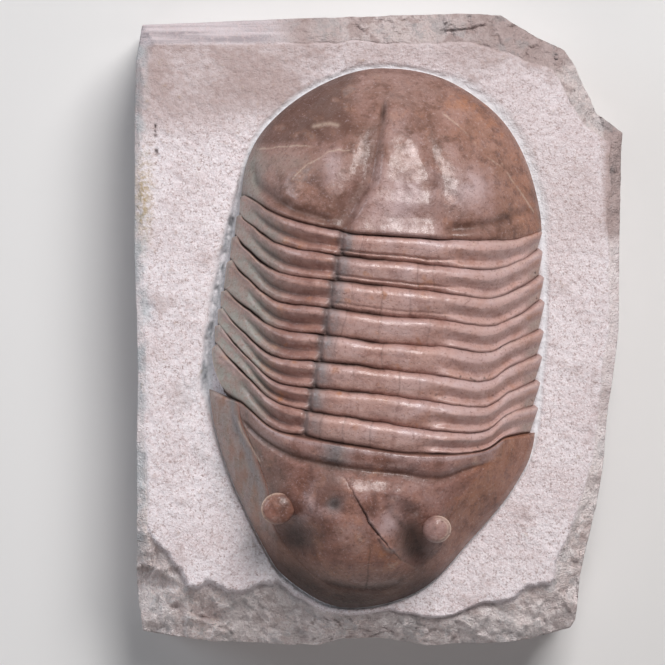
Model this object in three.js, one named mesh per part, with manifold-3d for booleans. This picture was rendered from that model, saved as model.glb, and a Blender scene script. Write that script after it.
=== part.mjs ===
// An asaphid trilobite, back upward, on the block of pale limestone that it was freed from.
// Millimetres, +Z up. The origin is the middle of the block's flat sawn back, which is what it rests on.
// +Y runs along the block towards the end where the animal's tail lies, +X is the animal's right as seen
// from above with its tail away from the viewer.
//
// The animal is made in a frame of its own, turned a little on the block: p runs across it, q along it
// towards the tail. Its hard parts are plates that arch over the limestone which filled the body:
// a tail shield, eight thoracic segments, and a head that is parted by its facial sutures into
// a cranidium and two free cheeks.

import * as THREE from 'three'
import { mergeVertices } from 'three/addons/utils/BufferGeometryUtils.js'
import Module from 'manifold-3d'

const wasm = await Module()
wasm.setup()

// ---- driving dimensions ----

const FACE_HEIGHT = 20            // the block's prepared face above its back
const ANIMAL_PLACE = [-1.4, -1.2] // the animal's middle on the block
const ANIMAL_TURN = THREE.MathUtils.degToRad(-3)
const DOME_HEIGHT = 13.4          // the arch of the back above the animal's margin
const MARGIN_HEIGHT = 1.3         // the margin's upper edge above the face
const PLATE_THICKNESS = 1.6
const CORE_GAP = 0.5              // upright gap between a plate and the limestone under it
const SEAM = 0.2                  // half the gap between two plates, measured along q
const SUTURE_GAP = 0.3            // gap along the facial sutures
const SEGMENT_COUNT = 8
const MOAT_WIDTH = 0.8            // groove that was cut round the animal
const MOAT_SLOPE = 1.2            // from the groove's floor up to the face

// how fast the arch falls off, across the body and along it
const ARCH_ACROSS = 1.45
const ARCH_ALONG = 3.1

// The animal's margin in its own frame, from the tail tip round by the left side.
const MARGIN = [
  [1.6, 40.6], [-5.1, 39.5], [-12.1, 35.7], [-17.4, 30.5], [-19.8, 25.3], [-20.4, 19.6], [-21.3, 14],
  [-22.4, 6.5], [-23.2, 0], [-23.7, -6], [-23.3, -10.8], [-21.7, -16.9], [-18.8, -23.8], [-14, -32.4],
  [-10.6, -36.6], [-3.5, -40.4], [3.9, -39.9], [10.9, -36.5], [16.9, -29.4], [21.2, -23.9],
  [23.6, -19.9], [25.1, -16.4], [25.75, -11.5], [26.1, 0], [26, 6.9], [25.3, 14.4], [24.5, 21],
  [21.7, 28.8], [17.1, 34.8], [9.5, 39.3],
]
const BODY_MIDDLE = [1.2, 0]

// The lines where the plates meet, from the head's rear edge (0) to the tail shield's front edge (8).
// Each has q at nine stations: left tip, left shoulder, left bend, left axial furrow, midline, right axial
// furrow, right bend, right shoulder, right tip.
const SEAM_LINES = [
  [-8.9, -10.55, -14.1, -15.15, -16.3, -16.8, -15.95, -13.65, -12.9],
  [-1.9, -5.95, -9.9, -11.3, -12.4, -13.2, -13.1, -10.4, -8.9],
  [0.9, -3.1, -7.1, -7.9, -8.3, -9, -9.4, -7.15, -5.1],
  [3.4, -0.2, -3.5, -3.9, -4.5, -5.1, -5.65, -3.25, -1.2],
  [6.1, 3.65, 0.7, 0.1, -0.7, -0.8, -1.3, 0.5, 2.6],
  [10.8, 8.05, 4.7, 4.1, 3.3, 3.1, 2.55, 4.1, 7],
  [14.4, 12.2, 9, 8.2, 7.7, 7.2, 6.7, 8.2, 10.7],
  [17.6, 16.1, 13.2, 11.9, 11.6, 11.1, 11.1, 12.3, 14.6],
  [20.5, 20, 17.4, 15.5, 15.3, 15.2, 15.4, 15.9, 17.4],
]
const LEFT_SHOULDER = -18.8       // p of the stations beside the axis
const LEFT_BEND = -13.9
const RIGHT_BEND = 17.5
const RIGHT_SHOULDER = 21.3
const LEFT_FURROW_U = 3 / 8       // the axial furrows' stations along a seam line
const RIGHT_FURROW_U = 5 / 8

// p of the axial furrows: the left one leans all the way, the right one only forward of the middle
const leftFurrow = (q) => -5.2 - 0.15 * (15 - q)
const rightFurrow = (q) => 10.9 - 0.13 * Math.max(0, -q)

// facial sutures, from the head's rear edge past the eye to the front, in p and q
const LEFT_SUTURE = [
  [-18.6, -9], [-18.4, -13.4], [-15.8, -18.8], [-13.6, -23.4], [-13.4, -26.2], [-12.2, -29.8], [-8.6, -34],
  [-4.8, -36.8], [0.7, -39],
]
const RIGHT_SUTURE = [
  [20.4, -11], [19, -16.4], [16, -21.2], [13.4, -25], [12.9, -28], [11.8, -31.4], [8.4, -34.8], [4.8, -37.3],
  [0.7, -39],
]
const EYES = [[-12.2, -25.9], [11.5, -27.9]]
const EYE_SIDES = 14
// half section of an eye on its short stalk, from well below its root to its crown
const EYE_ROOT = 0.8               // how deep an eye's stalk reaches into the plate
const EYE_SECTION = [[0, -5], [1.9, -5], [2, 0.4], [2.4, 1.1], [2.4, 1.7], [1.7, 2.25], [0, 2.5]]
const FILLING_DEPTH = 20           // of the body that cuts the stalks off

// relief of the thorax; v runs from a segment's front edge (0) to its hind edge (1)
const RIB_HEIGHT = 0.75
const RING_STEP = 0.8              // how far a ring stands above the pleurae, times the rib height
const PLEURAL_FURROW = 0.36        // v of the furrow along a pleura
const FRONT_BAND = { v: 0.18, width: 0.12, height: 0.5 }
const AXIAL_FURROW = { width: 0.02, depth: 0.6 }
const TIP_GAP_GROWTH = 0.6         // the gap between two segments widens by this share at the tips

// relief of the shields: lengths along q from the seam line, half widths across p
const TAIL_AXIS = { from: 15, to: 37, half: [7.8, 2.2], height: [1.2, 0.3], flat: 0.6 }
const TAIL_RIB = { height: 0.5, at: 1.6, width: 1.1 }
const TAIL_FURROW = { depth: 0.45, at: 3.6, width: 0.9 }
const GLABELLA = { rear: 20, front: 32, half: [7.2, 9.4], height: 0.9, flat: 0.75, fade: [31, 38] }
const HIND_BORDER = { height: 0.4, at: 1.6, width: 1.1 }
const BORDER_FURROW = { depth: 0.5, at: 3.7, width: 0.9 }
const SHIELD_BLUNT = 0.06          // half the angle of a shield's short straight edge at its tip
const RELIEF_FADE = [0.88, 1]      // how far out the relief dies away towards the margin

// The block's outline, anticlockwise from the middle of its right side: x, y, how far the broken or sawn
// rim lies below the prepared face, and how far in from the rim that slope starts.
const RIM = [
  [36.2, 0, 1, 1.5], [36.3, 12.8, 1.2, 2], [36.5, 20.4, 1.4, 2.5], [36.75, 29.7, 1.8, 3], [32.9, 32.7, 2.4, 3],
  [29.9, 39.5, 2.4, 3.5], [28, 42.3, 2.6, 3.5], [24.1, 44, 3, 4.5], [18.5, 47.5, 3, 5.5], [11.5, 47.7, 2.6, 5],
  [-13.3, 46.9, 2.6, 4], [-35, 46, 3.2, 3.6], [-36.2, 40.4, 1.6, 1.5], [-36.5, 31.2, 1.2, 1.2],
  [-36.7, 22.1, 1, 1.2], [-36.75, 12.8, 1, 1.2], [-36.2, -6.3, 1, 1.2], [-36.4, -16.4, 1, 1.4],
  [-36, -31.5, 1.6, 2.6], [-35.9, -37.9, 5, 9], [-34.7, -44.7, 7.5, 12], [-24.7, -46.7, 7.5, 11],
  [-17, -47.6, 7.4, 10], [-8.9, -47.7, 6.6, 6.5], [-5.8, -46.7, 6, 5], [0.2, -46.5, 5.5, 4.2],
  [7.4, -47.7, 5.5, 4.6], [19.1, -47.2, 5.5, 6], [22.9, -46.7, 5.6, 6.5], [29, -45, 5.6, 8],
  [29.8, -43.8, 5, 7], [30.5, -36.9, 3.4, 4.5], [31.7, -31.8, 2.6, 3.4], [33.4, -24, 1.6, 2.4],
  [34, -18.9, 1.2, 2], [34.4, -13.2, 1, 1.5], [35.3, -7.2, 1, 1.5],
]
const RIM_STEP = 6.5              // longest straight stretch of rim between two corners of the mesh
const WAIST_HEIGHT = 9            // where the block's sides are narrowest
const WAIST_INSET = 0.8
const BACK_INSET = 0.5
const MOUND_RINGS = [0.3, 0.5, 0.65, 0.77, 0.87, 0.95, 1] // shares of the way out to the margin
const FACE_CROWN = 0.1            // the face is a little higher halfway out to its shoulder
const LEAST_FACE = 0.6            // narrowest strip of face between the groove and the shoulder
const SLOPE_BREAK = { out: 0.55, down: 0.4 } // corner of the broken slope, as shares of its width and drop

// ---- small helpers ----

const { clamp, lerp, smoothstep } = THREE.MathUtils
const bump = (x, centre, width) => Math.exp(-(((x - centre) / width) ** 2))
const vector = ([x, y]) => new THREE.Vector2(x, y)

/** Value of a line of evenly spaced stations at u from 0 to 1, rounded through the stations. */
function alongStations(stations, u) {
  const curve = new THREE.SplineCurve(stations.map((value, i) => new THREE.Vector2(i, value)))
  return curve.getPoint(u).y
}

// ---- the animal's margin and the arch of its back ----

const MARGIN_SAMPLES = 720
const marginSamples = sampleMargin()

/** Walks the closed margin and keeps its angle and radius about the body's middle, in order of angle. */
function sampleMargin() {
  const closed = [...MARGIN, MARGIN[0], MARGIN[1]]
  const curve = new THREE.SplineCurve([MARGIN.at(-1), ...closed].map(vector))
  const first = 1 / (MARGIN.length + 2)
  const samples = []
  for (let i = 0; i < MARGIN_SAMPLES; i++) {
    const t = first + (i / MARGIN_SAMPLES) * MARGIN.length * first
    const point = curve.getPoint(t)
    const x = point.x - BODY_MIDDLE[0]
    const y = point.y - BODY_MIDDLE[1]
    samples.push({ angle: Math.atan2(y, x), radius: Math.hypot(x, y) })
  }
  return samples.sort((a, b) => a.angle - b.angle)
}

/** Distance from the body's middle to the margin in the direction of an angle. */
function marginRadius(angle) {
  const turned = Math.atan2(Math.sin(angle), Math.cos(angle))
  let next = marginSamples.findIndex((sample) => sample.angle > turned)
  if (next < 0) next = 0
  const before = marginSamples.at(next - 1)
  const after = marginSamples[next]
  const span = (after.angle - before.angle + 2 * Math.PI) % (2 * Math.PI)
  const step = (turned - before.angle + 2 * Math.PI) % (2 * Math.PI)
  return lerp(before.radius, after.radius, step / span)
}

/** Point of the margin in the direction of an angle. */
function marginPoint(angle) {
  const radius = marginRadius(angle)
  return [BODY_MIDDLE[0] + radius * Math.cos(angle), BODY_MIDDLE[1] + radius * Math.sin(angle)]
}

const angleOf = ([p, q]) => Math.atan2(q - BODY_MIDDLE[1], p - BODY_MIDDLE[0])

/** Height of the smooth arch of the back over a point of the animal, without furrows or ribs. */
function archHeight(p, q) {
  const angle = angleOf([p, q])
  const out = Math.min(Math.hypot(p - BODY_MIDDLE[0], q - BODY_MIDDLE[1]) / marginRadius(angle), 1)
  const power = lerp(ARCH_ACROSS, ARCH_ALONG, Math.sin(angle) ** 2)
  return FACE_HEIGHT + MARGIN_HEIGHT + DOME_HEIGHT * Math.cos((Math.PI / 2) * out ** power)
}

/** p of the midline, which swings a little to the left at the head. */
const midline = (q) => lerp(0.4, 1.95, smoothstep(q, -34, 12))

/** 1 inside the animal, fading to 0 at its margin, so that relief dies out there. */
function awayFromMargin(p, q) {
  const angle = angleOf([p, q])
  const out = Math.hypot(p - BODY_MIDDLE[0], q - BODY_MIDDLE[1]) / marginRadius(angle)
  return 1 - smoothstep(out, ...RELIEF_FADE)
}

// ---- closed plates ----

/**
 * A closed curved plate over a grid of places. place(u, v) gives p and q, top(p, q, u, v) the upper
 * surface, and the lower one follows the smooth arch a plate's thickness down. With oneUnder the lower
 * side is a single row of facets.
 */
function plateGeometry({ columns, rows, place, top, oneUnder = false, thickness = PLATE_THICKNESS }) {
  const positions = []
  const faces = []
  const underRows = oneUnder ? 1 : rows
  const corner = (i, j, total, height) => {
    const u = i / columns
    const v = j / total
    const [p, q] = place(u, v)
    positions.push(p, q, height(p, q, u, v))
  }
  for (let j = 0; j <= rows; j++) for (let i = 0; i <= columns; i++) corner(i, j, rows, top)
  const underHeight = (p, q) => archHeight(p, q) - thickness
  for (let j = 0; j <= underRows; j++) for (let i = 0; i <= columns; i++) corner(i, j, underRows, underHeight)

  const wide = columns + 1
  const upper = (i, j) => j * wide + i
  const lower = (i, j) => (rows + 1 + j) * wide + i
  const quad = (a, b, c, d) => faces.push(a, b, c, a, c, d)
  for (let i = 0; i < columns; i++) {
    for (let j = 0; j < rows; j++) quad(upper(i, j), upper(i + 1, j), upper(i + 1, j + 1), upper(i, j + 1))
    for (let j = 0; j < underRows; j++) {
      quad(lower(i, j), lower(i, j + 1), lower(i + 1, j + 1), lower(i + 1, j))
    }
    quad(lower(i, 0), lower(i + 1, 0), upper(i + 1, 0), upper(i, 0))
    quad(lower(i + 1, underRows), lower(i, underRows), upper(i, rows), upper(i + 1, rows))
  }
  for (let j = 0; j < rows; j++) {
    const under = oneUnder ? 0 : j
    faces.push(lower(0, under), upper(0, j), upper(0, j + 1))
    faces.push(lower(columns, under), upper(columns, j + 1), upper(columns, j))
    if (oneUnder) continue
    faces.push(lower(0, j), upper(0, j + 1), lower(0, j + 1))
    faces.push(lower(columns, j), lower(columns, j + 1), upper(columns, j + 1))
  }
  if (oneUnder) {
    faces.push(lower(0, 0), upper(0, rows), lower(0, 1))
    faces.push(lower(columns, 0), lower(columns, 1), upper(columns, rows))
  }
  const geometry = new THREE.BufferGeometry()
  geometry.setAttribute('position', new THREE.Float32BufferAttribute(positions, 3))
  geometry.setIndex(faces)
  return geometry
}

// ---- the lines where the plates meet ----

/** p of the nine stations of a seam line, and its q at each. */
function seamStations(k) {
  const q = SEAM_LINES[k]
  const p = [
    marginNear(-1, q[0]), LEFT_SHOULDER, LEFT_BEND, leftFurrow(q[3]), midline(q[4]),
    rightFurrow(q[5]), RIGHT_BEND, RIGHT_SHOULDER, marginNear(1, q[8]),
  ]
  return { p, q }
}

/** p of the margin on one side at a given q, found by a few steps of closing in. */
function marginNear(side, q) {
  const start = 24
  const steps = 12
  const lean = 0.1
  let p = side * start
  for (let i = 0; i < steps; i++) {
    const [edge, height] = marginPoint(angleOf([p, q]))
    p = edge + (q - height) * lean * side
  }
  return p
}

/** Point of seam line k at u from 0 (left tip) to 1 (right tip). */
function seamPoint(k, u) {
  const { p, q } = seamStations(k)
  return [alongStations(p, u), alongStations(q, u)]
}

// ---- thoracic segments ----

/** A round ridge of height 1 over t from 0 to 1. */
const ridge = (t) => Math.sin(Math.PI * clamp(t, 0, 1)) ** 0.65

/** Relief of a segment: an overlapping hind edge, a furrow along each pleura, and the two axial furrows. */
function segmentRelief(u, v) {
  const { width, depth } = AXIAL_FURROW
  const pastLeft = smoothstep(u, LEFT_FURROW_U - width, LEFT_FURROW_U + width)
  const beforeRight = 1 - smoothstep(u, RIGHT_FURROW_U - width, RIGHT_FURROW_U + width)
  const front = FRONT_BAND.height * bump(v, FRONT_BAND.v, FRONT_BAND.width)
  const band = ridge((v - PLEURAL_FURROW) / (1 - PLEURAL_FURROW)) + front
  const furrows = bump(u, LEFT_FURROW_U, width) + bump(u, RIGHT_FURROW_U, width)
  return RIB_HEIGHT * lerp(band, ridge(v) + RING_STEP, pastLeft * beforeRight) - depth * furrows
}

/** One segment of the thorax, from its front seam line k - 1 to its hind seam line k. */
function segmentGeometry(k) {
  const place = (u, v) => {
    const front = seamPoint(k - 1, u)
    const hind = seamPoint(k, u)
    const slope = 1 + TIP_GAP_GROWTH * (2 * u - 1) ** 2
    return [lerp(front[0], hind[0], v), lerp(front[1] + SEAM * slope, hind[1] - SEAM * slope, v)]
  }
  const top = (p, q, u, v) => archHeight(p, q) + segmentRelief(u, v) * awayFromMargin(p, q)
  return plateGeometry({ columns: 24, rows: 6, place, top, oneUnder: true })
}

// ---- shields at the two ends ----

/**
 * Places of a shield that is bounded by a seam line and by the margin beyond it, running to a short
 * straight edge at the shield's tip. sign is 1 for the tail and -1 for the head.
 */
function shieldPlace(k, sign) {
  const tip = sign * Math.PI / 2
  const left = angleOf(seamPoint(k, 0))
  const right = angleOf(seamPoint(k, 1))
  const leftStart = sign > 0 ? left : left - (left > 0 ? 2 * Math.PI : 0)
  return (u, v) => {
    const seam = seamPoint(k, u)
    seam[1] += sign * SEAM
    const leftSide = marginPoint(lerp(leftStart, tip + sign * SHIELD_BLUNT, v))
    const rightSide = marginPoint(lerp(right, tip - sign * SHIELD_BLUNT, v))
    const leftFoot = seamPoint(k, 0)
    const rightFoot = seamPoint(k, 1)
    const fade = (1 - v) ** 2
    return [0, 1].map((axis) => {
      const across = lerp(leftSide[axis], rightSide[axis], u)
      const foot = lerp(leftFoot[axis], rightFoot[axis], u)
      return across + fade * (seam[axis] - foot)
    })
  }
}

/** A flat-topped rise of height 1 that falls away to its half width. */
const plateau = (across, half, flat) => 1 - smoothstep(Math.abs(across), half * flat, half)

/** The tail shield: a smooth fan with a low tapering axis and one faint rib along its front edge. */
function pygidiumGeometry() {
  const place = shieldPlace(SEGMENT_COUNT, 1)
  const top = (p, q, u) => {
    const back = smoothstep(q, TAIL_AXIS.from, TAIL_AXIS.to)
    const half = lerp(...TAIL_AXIS.half, back)
    const axis = plateau(p - midline(q), half, TAIL_AXIS.flat) * lerp(...TAIL_AXIS.height, back)
    const gap = q - seamPoint(SEGMENT_COUNT, u)[1]
    const rib = TAIL_RIB.height * bump(gap, TAIL_RIB.at, TAIL_RIB.width)
    const furrow = TAIL_FURROW.depth * bump(gap, TAIL_FURROW.at, TAIL_FURROW.width)
    return archHeight(p, q) + (axis + (rib - furrow) * (1 - back)) * awayFromMargin(p, q)
  }
  return plateGeometry({ columns: 24, rows: 11, place, top })
}

/** Places of the head shield, from its front edge (v 0) back to its seam with the thorax (v 1). */
function headPlace() {
  const rearward = shieldPlace(0, -1)
  return (u, v) => rearward(u, 1 - v)
}

/** The whole head shield before it is parted: glabella, occipital ring and hind border furrow. */
function headGeometry() {
  const place = headPlace()
  const top = (p, q, u) => {
    const behind = seamPoint(0, u)[1] - q
    const half = lerp(...GLABELLA.half, smoothstep(-q, GLABELLA.rear, GLABELLA.front))
    const forward = 1 - smoothstep(-q, ...GLABELLA.fade)
    const glabella = GLABELLA.height * plateau(p - midline(q), half, GLABELLA.flat) * forward
    const border = HIND_BORDER.height * bump(behind, HIND_BORDER.at, HIND_BORDER.width)
    const furrow = BORDER_FURROW.depth * bump(behind, BORDER_FURROW.at, BORDER_FURROW.width)
    return archHeight(p, q) + (glabella + border - furrow) * awayFromMargin(p, q)
  }
  return plateGeometry({ columns: 26, rows: 15, place, top })
}

// ---- cutting and joining ----

/** A closed geometry as a solid that can be cut and joined. */
function solid(geometry) {
  const bare = geometry.clone()
  bare.deleteAttribute('normal')
  bare.deleteAttribute('uv')
  const merged = mergeVertices(bare, 1e-4)
  const vertProperties = new Float32Array(merged.attributes.position.array)
  const triVerts = new Uint32Array(merged.index.array)
  return new wasm.Manifold(new wasm.Mesh({ numProp: 3, vertProperties, triVerts }))
}

/** A solid back as a geometry for a mesh. */
function geometryOf(manifold) {
  const mesh = manifold.getMesh()
  const geometry = new THREE.BufferGeometry()
  geometry.setAttribute('position', new THREE.Float32BufferAttribute(mesh.vertProperties, 3))
  geometry.setIndex(Array.from(mesh.triVerts))
  return geometry
}

/** What lies under the head shield, to the depth that the eyes' stalks are cut off at. */
function headFilling() {
  const top = (p, q) => archHeight(p, q) - EYE_ROOT
  return solid(plateGeometry({ columns: 20, rows: 12, place: headPlace(), top, thickness: FILLING_DEPTH }))
}

/** One eye on its stalk, cut off where it is rooted in the head shield. */
function eyeSolid([p, q], filling) {
  const geometry = new THREE.LatheGeometry(EYE_SECTION.map(vector), EYE_SIDES)
  geometry.rotateX(Math.PI / 2)
  geometry.translate(p, q, archHeight(p, q))
  return solid(geometry).subtract(filling)
}

/** An upright prism over an outline, tall enough to hold the head. */
function territory(points) {
  const shape = new THREE.Shape(points.map(vector))
  const depth = 2 * (FACE_HEIGHT + DOME_HEIGHT)
  const geometry = new THREE.ExtrudeGeometry(shape, { depth, bevelEnabled: false })
  return solid(geometry)
}

/** A suture's points moved sideways, to the left of the way it runs if shift is above 0. */
function besideSuture(points, shift) {
  const steps = 16
  const curve = new THREE.SplineCurve(points.map(vector))
  return curve.getPoints(steps).map(({ x, y }, i) => {
    const along = curve.getTangent(i / steps)
    return [x - along.y * shift, y + along.x * shift]
  })
}

/** The head's three plates: cranidium, left free cheek and right free cheek. */
function headPlates() {
  const filling = headFilling()
  const head = EYES.reduce((whole, eye) => whole.add(eyeSolid(eye, filling)), solid(headGeometry()))
  const half = SUTURE_GAP / 2
  const away = 60 // clear of the head on every side
  const [meetP, meetQ] = LEFT_SUTURE.at(-1)
  const inner = (points, shift) => besideSuture(points, shift).slice(0, -1)
  const cranidium = [
    ...inner(LEFT_SUTURE, half), [meetP, meetQ + SUTURE_GAP],
    ...inner(RIGHT_SUTURE, -half).reverse(), [RIGHT_BEND, 0], [LEFT_BEND, 0],
  ]
  const cheekLeft = [
    ...inner(LEFT_SUTURE, -half), [meetP - half, meetQ - half],
    [meetP - half, -away], [-away, -away], [-away, 0], [LEFT_SUTURE[0][0], 0],
  ]
  const cheekRight = [
    ...inner(RIGHT_SUTURE, half), [meetP + half, meetQ - half],
    [meetP + half, -away], [away, -away], [away, 0], [RIGHT_SUTURE[0][0], 0],
  ]
  return [cranidium, cheekLeft, cheekRight].map((outline) => geometryOf(head.intersect(territory(outline))))
}

// ---- the limestone block ----

/** The rim with its long stretches parted, so that no facet is longer than the step. */
function rimStations() {
  const stations = []
  RIM.forEach((from, i) => {
    const to = RIM[(i + 1) % RIM.length]
    const parts = Math.ceil(Math.hypot(to[0] - from[0], to[1] - from[1]) / RIM_STEP)
    for (let j = 0; j < parts; j++) stations.push(from.map((value, n) => lerp(value, to[n], j / parts)))
  })
  return stations
}

/** The limestone's height under and around the animal: outward is past the margin, along a spoke. */
function coreRing(fraction) {
  return (angle) => {
    const radius = marginRadius(angle) * fraction
    const p = BODY_MIDDLE[0] + radius * Math.cos(angle)
    const q = BODY_MIDDLE[1] + radius * Math.sin(angle)
    return { radius, height: archHeight(p, q) - PLATE_THICKNESS - CORE_GAP }
  }
}

/** The block: a mound that fills the animal, a groove round it, the prepared face, rough rims, a flat back. */
function blockGeometry() {
  const stations = rimStations()
  const [cx, cy] = ANIMAL_PLACE
  const turn = ANIMAL_TURN
  const middle = [
    cx + BODY_MIDDLE[0] * Math.cos(turn) - BODY_MIDDLE[1] * Math.sin(turn),
    cy + BODY_MIDDLE[0] * Math.sin(turn) + BODY_MIDDLE[1] * Math.cos(turn),
  ]
  const mound = MOUND_RINGS.map(coreRing)
  const foot = FACE_HEIGHT + MARGIN_HEIGHT - PLATE_THICKNESS - CORE_GAP
  const rings = stations.map(([x, y, drop, inset]) => {
    const dx = x - middle[0]
    const dy = y - middle[1]
    const reach = Math.hypot(dx, dy)
    const [ux, uy] = [dx / reach, dy / reach]
    const angle = Math.atan2(dy, dx) - turn
    const at = (radius, height) => [middle[0] + ux * radius, middle[1] + uy * radius, height]
    const edge = marginRadius(angle)
    const moat = edge + MOAT_WIDTH
    const bank = moat + MOAT_SLOPE
    const shoulder = Math.max(reach - inset, bank + LEAST_FACE)
    return [
      ...mound.map((ring) => { const { radius, height } = ring(angle); return at(radius, height) }),
      at(moat, foot),
      at(bank, FACE_HEIGHT),
      at((bank + shoulder) / 2, FACE_HEIGHT + FACE_CROWN),
      at(shoulder, FACE_HEIGHT),
      at(lerp(shoulder, reach, SLOPE_BREAK.out), FACE_HEIGHT - drop * SLOPE_BREAK.down),
      at(reach, FACE_HEIGHT - drop),
      at(reach - WAIST_INSET, WAIST_HEIGHT),
      at(reach - BACK_INSET, 0),
    ]
  })
  const count = rings.length
  const depth = rings[0].length
  const positions = rings.flat(2)
  const crown = positions.length / 3
  positions.push(...middle, FACE_HEIGHT + MARGIN_HEIGHT + DOME_HEIGHT - PLATE_THICKNESS - CORE_GAP)
  positions.push(...middle, 0)
  const faces = []
  for (let i = 0; i < count; i++) {
    const here = i * depth
    const next = ((i + 1) % count) * depth
    faces.push(crown, here, next)
    for (let j = 0; j < depth - 1; j++) {
      faces.push(here + j, here + j + 1, next + j + 1)
      faces.push(here + j, next + j + 1, next + j)
    }
    faces.push(crown + 1, next + depth - 1, here + depth - 1)
  }
  const geometry = new THREE.BufferGeometry()
  geometry.setAttribute('position', new THREE.Float32BufferAttribute(positions, 3))
  geometry.setIndex(faces)
  return geometry
}

// ---- assembly ----

const stone = () => new THREE.MeshStandardMaterial({ color: 0xd8ccd0, roughness: 0.95, metalness: 0 })
const shell = (color) => new THREE.MeshStandardMaterial({ color, roughness: 0.42, metalness: 0 })

function named(name, geometry, material) {
  geometry.computeVertexNormals()
  const mesh = new THREE.Mesh(geometry, material)
  mesh.name = name
  return mesh
}

const animal = new THREE.Group()
animal.position.set(...ANIMAL_PLACE, 0)
animal.rotation.z = ANIMAL_TURN
animal.add(named('pygidium', pygidiumGeometry(), shell(0x9c7a70)))
for (let k = 1; k <= SEGMENT_COUNT; k++) {
  animal.add(named(`thoracic_segment_${k}`, segmentGeometry(k), shell(0x8f6e66)))
}
const [cranidium, cheekLeft, cheekRight] = headPlates()
animal.add(named('cranidium', cranidium, shell(0x7a5c52)))
animal.add(named('free_cheek_left', cheekLeft, shell(0x7e7470)))
animal.add(named('free_cheek_right', cheekRight, shell(0x7f5f54)))

const fossil = new THREE.Group()
fossil.add(named('matrix_block', blockGeometry(), stone()))
fossil.add(animal)

export default fossil
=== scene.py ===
"""Looks of a trilobite fossil on its limestone block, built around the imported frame.

Lengths in the classes are millimetres and meshes are written in metres. The animal has a frame of
its own, turned a little on the block: p runs across it, q along it towards the tail.
"""

import logging
import math
from dataclasses import dataclass, field
from enum import Enum
from typing import Any, Sequence, Union

import bpy
import numpy as np
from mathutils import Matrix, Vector


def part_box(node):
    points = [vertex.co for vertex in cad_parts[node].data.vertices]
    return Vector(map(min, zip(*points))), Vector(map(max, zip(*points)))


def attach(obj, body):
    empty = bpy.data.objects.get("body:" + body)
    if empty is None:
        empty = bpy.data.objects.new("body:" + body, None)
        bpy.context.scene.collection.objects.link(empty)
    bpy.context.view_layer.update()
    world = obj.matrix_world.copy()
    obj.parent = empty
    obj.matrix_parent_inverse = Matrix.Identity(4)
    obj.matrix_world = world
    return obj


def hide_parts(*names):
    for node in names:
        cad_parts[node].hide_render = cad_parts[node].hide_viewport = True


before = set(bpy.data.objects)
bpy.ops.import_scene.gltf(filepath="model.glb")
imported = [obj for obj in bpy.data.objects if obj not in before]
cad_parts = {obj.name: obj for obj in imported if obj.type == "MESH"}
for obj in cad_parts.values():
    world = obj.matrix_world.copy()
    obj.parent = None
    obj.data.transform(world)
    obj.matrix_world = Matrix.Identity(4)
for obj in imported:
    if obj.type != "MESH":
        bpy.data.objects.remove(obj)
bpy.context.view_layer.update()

log = logging.getLogger("trilobite")

Array = np.ndarray
Colour = tuple[float, float, float]
Point = tuple[float, float]
MM = 0.001
TAU = 2 * math.pi


# ---------------------------------------------------------------- plain maths


def ease(x: Array, low: float, high: float) -> Array:
    """Smooth step from 0 at low to 1 at high; low may be the larger."""
    t = np.clip((np.asarray(x, float) - low) / (high - low), 0, 1)
    return t * t * (3 - 2 * t)


def hump(x: Array, centre: float, width: float) -> Array:
    """Round hump of height 1 at centre."""
    return np.exp(-(((np.asarray(x, float) - centre) / width) ** 2))


def between(a: Any, b: Any, t: Any) -> Any:
    """Straight mix from a to b."""
    return a + (b - a) * t


def spline(stations: Sequence[float], u: Array) -> Array:
    """Rounded line through evenly spaced stations.

    Args:
        stations: values at u = 0, 1 / n, ... 1.
        u: where to read the line, 0 to 1.

    Returns:
        The line's values at u.
    """
    values = np.asarray(stations, float)
    last = len(values) - 1
    at = np.clip(np.asarray(u, float), 0, 1) * last
    i = np.minimum(at.astype(int), last - 1)
    t = at - i
    before, start = values[np.maximum(i - 1, 0)], values[i]
    end, after = values[i + 1], values[np.minimum(i + 2, last)]
    leave, arrive = (end - before) / 2, (after - start) / 2
    cubic = 2 * start - 2 * end + leave + arrive
    square = -3 * start + 3 * end - 2 * leave - arrive
    return ((cubic * t + square) * t + leave) * t + start


@dataclass(frozen=True)
class Profile:
    """A smooth line through a few knots that never overshoots them."""

    knots: tuple[Point, ...]

    def __call__(self, x: Array) -> Array:
        """Reads the line.

        Args:
            x: where to read it; past its ends it is held level.

        Returns:
            Height of the line at x.
        """
        xs, ys = np.array(self.knots, float).T
        step = np.diff(xs)
        slope = np.diff(ys) / step
        tangent = np.concatenate([slope[:1], np.zeros(len(xs) - 2), slope[-1:]])
        product = slope[:-1] * slope[1:]
        total = slope[:-1] + slope[1:]
        safe = np.where(np.abs(total) > 1e-9, total, 1)
        tangent[1:-1] = np.where(product > 0, 2 * product / safe, 0)
        x = np.clip(np.asarray(x, float), xs[0], xs[-1])
        i = np.clip(np.searchsorted(xs, x, side="right") - 1, 0, len(step) - 1)
        t = (x - xs[i]) / step[i]
        rise = t * t * (3 - 2 * t)
        bend_in = t * (1 - t) ** 2 * step[i] * tangent[i]
        bend_out = -t * t * (1 - t) * step[i] * tangent[i + 1]
        return ys[i] + (ys[i + 1] - ys[i]) * rise + bend_in + bend_out


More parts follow.
